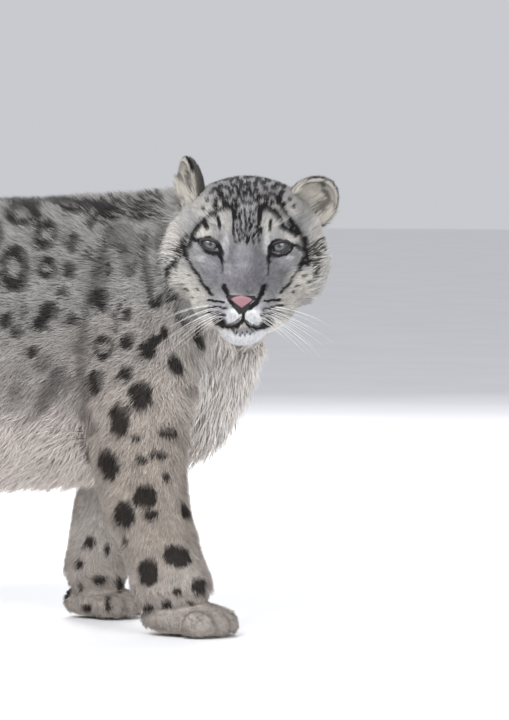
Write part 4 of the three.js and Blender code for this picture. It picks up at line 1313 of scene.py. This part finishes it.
# Ears, their rims dark and their cups full of pale hair.
earCoat = {"density": 0.55, "length": 9, "cupLength": 17, "half": 0.55, "rise": 2.4, "cupRise": 5, "sunk": -6}


def earColour(points, high, facing):
    # facing is 1 where the surface looks out of the cup
    rim = smoothStep(high, 26, 36) * smoothStep(facing, -0.6, 0.1) * (1 - smoothStep(facing, 0.35, 0.75))
    patch = smoothStep(noise(points, 9, 31), 0.55, 0.75) * smoothStep(facing, 0.2, 0.6) * 0.7
    colour = over(tones["earBack"], "earInside", smoothStep(facing, -0.1, 0.4))
    return over(colour, "mark", np.maximum(rim, patch))


def growEar(name, ear):
    vertices, faces, normals = makeEar(ear)
    opens = earBasis(ear)[0] @ headTurn.T
    colour = earColour(vertices, intoEar(vertices, ear)[:, 2], normals @ opens)
    # painted shade: the ear's skin is darkened under its hair
    piece = meshFrom(name, vertices, faces, skinMaterial, {"coatColour": colour * skinShade["ear"]})
    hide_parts(ear["node"])
    triangles = fan(faces.tolist())
    roots, rootNormals = rootsOn(vertices, normals, triangles, np.full(len(triangles), earCoat["density"]))
    local = intoEar(roots, ear)
    outside = headDistance(roots) > earCoat["sunk"]
    roots, rootNormals, local = roots[outside], rootNormals[outside], local[outside]
    up = earBasis(ear)[2] @ headTurn.T
    facing = rootNormals @ opens
    cup = smoothStep(facing, 0.2, 0.6) * (1 - smoothStep(local[:, 2], 22, 36))
    lie = up + rng.normal(0, 0.16, (len(roots), 3)) + opens * 0.25
    lie = unit(lie - rootNormals * (lie * rootNormals).sum(axis=1, keepdims=True))
    longest = earCoat["length"] + (earCoat["cupLength"] - earCoat["length"]) * cup
    length = longest * rng.uniform(0.6, 1.1, len(roots))
    length *= 1 - 0.55 * smoothStep(local[:, 2], 20, 42)
    rise = (earCoat["rise"] + earCoat["cupRise"] * cup) * rng.uniform(0.7, 1.2, len(roots))
    half = np.full(len(roots), earCoat["half"]) * rng.uniform(0.8, 1.3, len(roots))
    colour = earColour(roots, local[:, 2], facing) * rng.uniform(0.85, 1.15, len(roots))[:, None]
    around = np.stack([turnOf(local[:, 1], local[:, 0]), np.clip((local[:, 2] + 30) / 80, 0, 1)], 1)
    tuftMesh("coat_" + name, roots, rootNormals, lie, length, rise, half, [colour] * 3, around)


for name, ear in ears.items():
    growEar(name, ear)
print("ears grown")

# Eyes: a polished ball with a grey ring round a small pupil, dark where the lids meet it.
eyeLook = {
    "gaze": (1, 0.02, 0.03), "iris": 10.4, "pupil": 2.2, "rings": 64, "turns": 64, "crowding": 1.6,
    "outer": fromSrgb(44, 49, 50), "inner": fromSrgb(78, 84, 83), "white": fromSrgb(26, 23, 22),
}


def eyeMaterial():
    material, shader, start = newMaterial("eyeball")
    far = attributeOf(start, "fromPupil", out=2)
    ray = attributeOf(start, "rays", out=2)
    cloud = start.cloud(700.0, 4.0)
    iris = (far + ray * 0.25 + cloud * 0.12).between(0.25, 1.05).mix(eyeLook["inner"], eyeLook["outer"])
    streaks = ray.between(0.2, 0.9).mix((0.75, 0.75, 0.75), (1.12, 1.12, 1.12))
    rim = far.between(0.8, 0.97).mix(iris.times(streaks, 0.7), (0.012, 0.011, 0.01))
    white = far.between(1.0, 1.12).mix(rim, eyeLook["white"])
    pupilEdge = eyeLook["pupil"] / eyeLook["iris"]
    pupil = far.between(pupilEdge - 0.03, pupilEdge + 0.04)
    feed(shader, "Base Color", pupil.mix((0.003, 0.003, 0.003), white))
    feed(shader, "Roughness", cloud * 0.1 + 0.28)
    shader.inputs["Coat Weight"].default_value = 1.0
    shader.inputs["Coat Roughness"].default_value = 0.02
    shader.inputs["Specular IOR Level"].default_value = 0.5
    return material


eyeballMaterial = eyeMaterial()


def makeEye(name, node, side):
    gaze = unit(np.array(eyeLook["gaze"]) * (1, side, 1))
    across = unit(np.cross((0, 0, 1), gaze))
    up = np.cross(gaze, across)
    rings, turns = eyeLook["rings"], eyeLook["turns"]
    points, far, rays = [gaze], [0.0], [0.5]
    sweepIris = math.asin(eyeLook["iris"] / eye["radius"])
    for i in range(1, rings):
        share = i / rings
        polar = math.pi * share ** eyeLook["crowding"]
        for j in range(turns):
            turn = 2 * math.pi * j / turns
            direction = gaze * math.cos(polar) + (across * math.cos(turn) + up * math.sin(turn)) * math.sin(polar)
            points.append(direction)
            far.append(polar / sweepIris)
            rays.append(0.5 + 0.28 * math.sin(turn * 17 + side) + 0.22 * math.sin(turn * 29 + 2))
    points.append(-gaze)
    far.append(3.0)
    rays.append(0.5)
    faces = []
    for j in range(turns):
        following = (j + 1) % turns
        faces.append([0, 1 + j, 1 + following])
        for i in range(rings - 2):
            a = 1 + i * turns
            faces.append([a + j, a + turns + j, a + turns + following, a + following])
        last = 1 + (rings - 2) * turns
        faces.append([last + j, len(points) - 1, last + following])
    middle = np.array(eye["at"], float) * (1, side, 1)
    vertices = fromHead(np.array(points) * eye["radius"] + middle)
    piece = meshFrom(name, vertices, faces, eyeballMaterial, {"fromPupil": np.array(far), "rays": np.array(rays)})
    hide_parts(node)


makeEye("eyeballRight", "eye_right", -1)
makeEye("eyeballLeft", "eye_left", 1)


# Bare dark skin: the rims of the lids, the edges of the lips and the pad of the nose.
def bareMaterial(name, dark, pale, rough, grain):
    material, shader, start = newMaterial(name)
    tint = attributeOf(start, "tint", out=2)
    pebbles = start.make("ShaderNodeTexVoronoi", i0=start, Scale=grain)
    cloud = start.cloud(grain * 0.4, 3.0)
    mixed = (tint + cloud * 0.3 - 0.15).between(0.1, 0.9)
    feed(shader, "Base Color", mixed.mix(dark, pale))
    feed(shader, "Roughness", pebbles * 0.3 + rough)
    feed(shader, "Normal", start.make("ShaderNodeBump", Height=pebbles, Distance=0.0004, Strength=0.6))
    shader.inputs["Specular IOR Level"].default_value = 0.5
    return material


lidMaterial = bareMaterial("darkBareSkin", fromSrgb(20, 17, 16), fromSrgb(46, 40, 38), 0.4, 900.0)
noseMaterial = bareMaterial("nosePad", fromSrgb(24, 20, 22), fromSrgb(146, 106, 112), 0.36, 1300.0)
nose = {
    "top": -50, "bottom": -77, "half": 21, "step": 0.8, "nostril": (12.5, -61), "nostrilSize": (5.2, 2.3), "lean": 50,
    "proud": 3.6, "sunk": 0.8, "groove": 1.4, "grooveHalf": 1.3, "nostrilDepth": 5.0, "thick": 6,
    "outline": [(0.0, 3.0), (0.2, 6.5), (0.42, 12.5), (0.62, 18.0), (0.78, 20.0), (0.92, 18.5), (1.0, 15.0)],
    "pink": [(0.0, -6.0), (0.3, -2.0), (0.42, 1.5), (0.6, 8.0), (0.76, 13.5), (0.86, 9.0), (1.0, -5.0)],
}
lipHalf = 1.5
lidRim = {"half": 1.75, "points": 72, "inside": 0.3, "proud": 0.9}


def tube(points, halves, sides=8):
    points = np.asarray(points, float)
    ahead = unit(np.gradient(points, axis=0))
    side = unit(np.cross(ahead, np.tile((0.3, 0.2, 1.0), (len(points), 1))))
    up = np.cross(side, ahead)
    rings = []
    for j in range(sides):
        turn = 2 * math.pi * j / sides
        rings.append(points + (side * math.cos(turn) + up * math.sin(turn)) * np.asarray(halves)[:, None])
    return np.stack(rings, 1).reshape(-1, 3)


def tubeFaces(count, sides=8, closed=False):
    faces = []
    for i in range(count if closed else count - 1):
        a, b = i * sides, (i + 1) % count * sides
        for j in range(sides):
            following = (j + 1) % sides
            faces.append([a + j, a + following, b + following, b + j])
    if not closed:
        faces.append(list(range(sides))[::-1])
        faces.append([(count - 1) * sides + j for j in range(sides)])
    return faces


def onSkin(points, push=0.0):
    # slides points onto the skin, then out by push
    measure = lambda p: skinDistance(p, detailed=True)
    for _ in range(4):
        slope = slopeOf(measure, points)
        pull = (measure(points) - push) / np.maximum((slope**2).sum(axis=1), 0.3)
        points = points - np.clip(pull, -4, 4)[:, None] * slope
    return points


def makeLid(name, side):
    # follows the edge where the opening meets the lid's outer face
    lean = degrees(eye["slant"])
    turns = np.linspace(0, 2 * math.pi, lidRim["points"], endpoint=False)
    a, b = np.cos(turns) * (eye["long"] - lidRim["inside"]), np.sin(turns) * (eye["high"] - lidRim["inside"])
    left, up = tilted(a, b, -lean)
    outside = eye["radius"] + lidRim["proud"]
    front = np.sqrt(np.maximum(outside**2 - left**2 - (up - eye["drop"]) ** 2, 4))
    local = np.stack([eye["at"][0] + front, eye["at"][1] + left, eye["at"][2] - eye["drop"] + up], 1) * (1, side, 1)
    halves = np.full(len(local), lidRim["half"]) * (1 + 0.35 * (np.sin(turns) > 0))
    inner = np.cos(turns) < -0.8
    halves[inner] *= 1.25
    vertices = tube(np.concatenate([local, local[:1]]), np.concatenate([halves, halves[:1]]))[:-8]
    faces = tubeFaces(lidRim["points"], closed=True)
    if side > 0:
        faces = [face[::-1] for face in faces]
    tint = noise(vertices, 3, 41)
    piece = meshFrom(name, fromHead(vertices), faces, lidMaterial, {"tint": tint})


makeLid("lidRimRight", -1)
makeLid("lidRimLeft", 1)


def makeLips():
    half = np.array(mouthLine, float)
    t = np.linspace(0, 1, 40)
    keys = np.linspace(0, 1, len(half))
    left = np.stack([through(keys, half[:, k], t) for k in range(3)], 1)
    local = np.concatenate([left * (1, -1, 1), left[::-1][1:]])
    placed = onSkin(fromHead(local), -0.6)
    halves = lipHalf * (0.6 + 0.4 * np.sin(np.linspace(0, math.pi, len(placed))))
    halves[[0, -1]] = 0.4
    vertices = tube(placed, halves)
    piece = meshFrom("lipLine", vertices, tubeFaces(len(placed)), lidMaterial, {"tint": noise(vertices, 4, 43) * 0.5})


makeLips()


def makeNose():
    # the pad stands on the skin: wings to the sides, a groove in the middle, a hole in each wing
    lefts = np.arange(-nose["half"], nose["half"] + 0.01, nose["step"])
    ups = np.arange(nose["bottom"], nose["top"] + 0.01, nose["step"])
    left, up = (grid.ravel() for grid in np.meshgrid(lefts, ups, indexing="ij"))
    share = (up - nose["bottom"]) / (nose["top"] - nose["bottom"])
    edge = np.abs(left) / np.interp(share, *zip(*nose["outline"]))
    lean = degrees(nose["lean"])
    along, across = tilted(np.abs(left) - nose["nostril"][0], up - nose["nostril"][1], lean)
    deep = 1 - smoothStep(np.hypot(along / nose["nostrilSize"][0], across / nose["nostrilSize"][1]), 0.4, 1.1)
    skinAt = np.stack([np.full(len(left), 122.0), left, up], 1)
    for _ in range(16):
        skinAt[:, 0] -= skinDistance(fromHead(skinAt), detailed=True) * 0.85
    border = np.maximum(edge, np.abs(share - 0.5) * 2)
    above = nose["proud"] * (1 - smoothStep(border, 0.6, 1.0)) - nose["sunk"]
    groove = nose["groove"] * np.exp(-(left / nose["grooveHalf"]) ** 2) * smoothStep(-share, -0.7, -0.3)
    vertices = np.stack([skinAt[:, 0] + above - groove - nose["nostrilDepth"] * deep, left, up], 1)
    rows, columns = len(lefts), len(ups)
    inside = (edge < 1.06).reshape(rows, columns)
    faces = []
    for i in range(rows - 1):
        for j in range(columns - 1):
            if inside[i, j] and inside[i + 1, j] and inside[i, j + 1] and inside[i + 1, j + 1]:
                a = i * columns + j
                faces.append([a, a + columns, a + columns + 1, a + 1])
    used = sorted({i for face in faces for i in face})
    number = {old: new for new, old in enumerate(used)}
    faces = [[number[i] for i in face] for face in faces]
    shell = vertices[used]
    pink = np.interp(share[used], *zip(*nose["pink"])) - np.abs(left[used])
    tint = smoothStep(pink, -1.6, 1.8) * (1 - deep[used]) * 0.9
    bm = bmesh.new()
    layer = bm.verts.layers.float.new("tint")
    made = []
    for point, value in zip(toWorld(fromHead(shell)), tint):
        made.append(bm.verts.new(point))
        made[-1][layer] = value
    for face in faces:
        bm.faces.new([made[i] for i in face])
    rim = [e for e in bm.edges if e.is_boundary]
    walls = bmesh.ops.extrude_edge_only(bm, edges=rim)["geom"]
    inward = toWorld(fromHead([(0, 0, 0)]))[0] - toWorld(fromHead([(nose["thick"], 0, 0)]))[0]
    walls = [v for v in walls if isinstance(v, bmesh.types.BMVert)]
    bmesh.ops.translate(bm, verts=walls, vec=inward)
    bmesh.ops.holes_fill(bm, edges=[e for e in bm.edges if e.is_boundary])
    bmesh.ops.recalc_face_normals(bm, faces=bm.faces)
    mesh = bpy.data.meshes.new("nosePad")
    bm.to_mesh(mesh)
    bm.free()
    shadeSmooth(mesh)
    piece = addPiece("nosePad", mesh, noseMaterial)


makeNose()
print("eyes, lids, lips and nose made")

# Whiskers: long tapered bristles from the pads beside the nose, and a few over the eyes.
whiskerForm = {
    "rows": 4, "perRow": 5, "length": 76, "thick": 0.26, "brow": 3, "browLength": 44,
    "joints": 10, "sag": 0.2, "sweep": 0.16, "tipThinner": 0.93, "sides": 5,
}


def whiskerRoots():
    roots = []
    for side in (-1, 1):
        for row in range(whiskerForm["rows"]):
            for i in range(whiskerForm["perRow"]):
                left = 20 + i * 4.3 + row * 0.6
                up = -68 - row * 5.2 + i * 0.8
                long = whiskerForm["length"] * (0.45 + 0.55 * min(i / 3, 1)) * rng.uniform(0.75, 1.1)
                droop = 0.1 + 0.16 * row + rng.uniform(-0.06, 0.06)
                roots.append((side, (118 - i * 4, left, up), (0.1 - 0.12 * i, 1, -droop), long))
        for i in range(whiskerForm["brow"]):
            roots.append((side, (72, 34 + i * 4, 32 + i * 2), (0.5, 0.55 + 0.1 * i, 0.75), whiskerForm["browLength"]))
    return roots


def whiskerLines():
    # one thread for each bristle: a run of points with a radius for each
    roots = whiskerRoots()
    starts = np.array([np.array(at) * (1, side, 1) for side, at, _, _ in roots], float)
    onFace = onSkin(fromHead(starts), -1.0)
    mesh = bpy.data.meshes.new("whiskerThreads")
    points, edges, sizes = [], [], []
    for root, (side, _, way, long) in zip(onFace, roots):
        way = unit(np.array(way, float) * (1, side, 1)) @ headTurn.T
        for k in range(whiskerForm["joints"] + 1):
            t = k / whiskerForm["joints"]
            if k:
                edges.append((len(points) - 1, len(points)))
            sag = np.array([0, 0, -whiskerForm["sag"] * long * t * t])
            sweep = headTurn[:, 0] * (-whiskerForm["sweep"] * long * t * t)
            points.append(root + way * long * t + (sag + sweep))
            sizes.append(whiskerForm["thick"] * (1 - whiskerForm["tipThinner"] * t))
    mesh.from_pydata([tuple(p) for p in toWorld(np.array(points))], edges, [])
    mesh.attributes.new("thick", "FLOAT", "POINT").data.foreach_set("value", np.array(sizes) / 1000)
    return mesh


def bristleTree(material):
    tree = bpy.data.node_groups.new("bristles", "GeometryNodeTree")
    face = tree.interface
    face.new_socket(name="Threads", in_out="INPUT", socket_type="NodeSocketGeometry")
    sides = face.new_socket(name="Sides", in_out="INPUT", socket_type="NodeSocketInt")
    stout = face.new_socket(name="Stoutness", in_out="INPUT", socket_type="NodeSocketFloat")
    face.new_socket(name="Bristles", in_out="OUTPUT", socket_type="NodeSocketGeometry")
    opened = tree.nodes.new("NodeGroupInput")
    entry, count, scale = (Wire(tree, opened.outputs[k]) for k in range(3))
    thick = entry.make("GeometryNodeInputNamedAttribute", {"data_type": "FLOAT"}, Name="thick")
    curves = entry.make("GeometryNodeMeshToCurve", Mesh=entry)
    sized = curves.make("GeometryNodeSetCurveRadius", Curve=curves, Radius=thick * scale)
    profile = entry.make("GeometryNodeCurvePrimitiveCircle", Resolution=count)
    body = sized.make("GeometryNodeCurveToMesh", Curve=sized, Profile_Curve=profile, Scale=thick * scale)
    whole = body.make("GeometryNodeRealizeInstances", Geometry=body)
    painted = whole.make("GeometryNodeSetMaterial", Geometry=whole, Material=material)
    closing = tree.nodes.new("NodeGroupOutput")
    tree.links.new(painted.socket, closing.inputs[0])
    return tree, sides.identifier, stout.identifier


def whiskerMaterial():
    material, shader, start = newMaterial("whisker")
    cloud = start.cloud(260.0, 2.0)
    feed(shader, "Base Color", cloud.between(0.3, 0.7).mix(fromSrgb(222, 219, 212), fromSrgb(250, 249, 246)))
    feed(shader, "Roughness", cloud * 0.2 + 0.25)
    return material


def makeWhiskers():
    threads = addObject("whiskerThreads", whiskerLines())
    material = whiskerMaterial()
    tree, sides, stout = bristleTree(material)
    modifier = threads.modifiers.new("bristles", "NODES")
    modifier.node_group = tree
    modifier[sides] = whiskerForm["sides"]
    modifier[stout] = 1.0
    evaluated = threads.evaluated_get(bpy.context.evaluated_depsgraph_get())
    mesh = bpy.data.meshes.new_from_object(evaluated)
    bpy.data.objects.remove(threads)
    mesh.name = "whiskers"
    shadeSmooth(mesh)
    if not len(mesh.materials):
        mesh.materials.append(material)
    piece = addObject("whiskers", mesh)
    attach(piece, "root")
    print("whiskers:", len(mesh.polygons), "faces")


makeWhiskers()

# Studio: a pale floor, soft lamps and the camera.
studio = {
    "floor": 30.0, "world": 0.62, "worldColour": (0.93, 0.95, 1.0, 1), "lampsAim": (0.3, 0, 0.3),
    "lamps": [  # place, energy, size
        ((-0.4, -4.0, 3.4), 220, 2.8), ((3.4, -2.8, 2.2), 80, 2.4), ((-1.2, 3.4, 3.0), 150, 2.5),
    ],
}


def makeFloor():
    half = studio["floor"]
    bm = bmesh.new()
    bmesh.ops.create_grid(bm, x_segments=8, y_segments=8, size=half)
    mesh = bpy.data.meshes.new("floor")
    bm.to_mesh(mesh)
    bm.free()
    material, shader, start = newMaterial("paleFloor")
    cloud = start.cloud(3.0, 3.0)
    feed(shader, "Base Color", cloud.between(0.3, 0.7).mix((0.84, 0.84, 0.85), (0.87, 0.87, 0.88)))
    feed(shader, "Roughness", cloud * 0.1 + 0.8)
    mesh.materials.append(material)
    floor = addObject("floor", mesh)


def makeLamps():
    for i, (place, energy, size) in enumerate(studio["lamps"]):
        data = bpy.data.lights.new("lamp%d" % i, "AREA")
        data.energy, data.size = energy, size
        lamp = addObject(data.name, data)
        lamp.location = place
        way = Vector(studio["lampsAim"]) - Vector(place)
        lamp.rotation_euler = way.to_track_quat("-Z", "Y").to_euler()
    world = bpy.data.worlds.new("studio")
    world.use_nodes = True
    world.node_tree.nodes["Background"].inputs[0].default_value = studio["worldColour"]
    world.node_tree.nodes["Background"].inputs[1].default_value = studio["world"]
    bpy.context.scene.world = world


def makeCamera():
    data = bpy.data.cameras.new("camera")
    data.sensor_fit = "VERTICAL"
    data.sensor_height = 36
    data.lens = data.sensor_height * focal / photoHeight
    data.clip_end = 60
    camera = addObject("camera", data)
    camera.location = toWorld(cameraAt)
    camera.rotation_euler = Matrix((viewRight, viewUp, viewBack)).transposed().to_euler()
    bpy.context.scene.camera = camera
    bpy.context.scene.view_settings.view_transform = "Standard"


makeFloor()
makeLamps()
makeCamera()
triangles = sum(len(p.vertices) - 2 for o in bpy.data.objects if o.type == "MESH" for p in o.data.polygons)
print("triangles in all:", triangles)
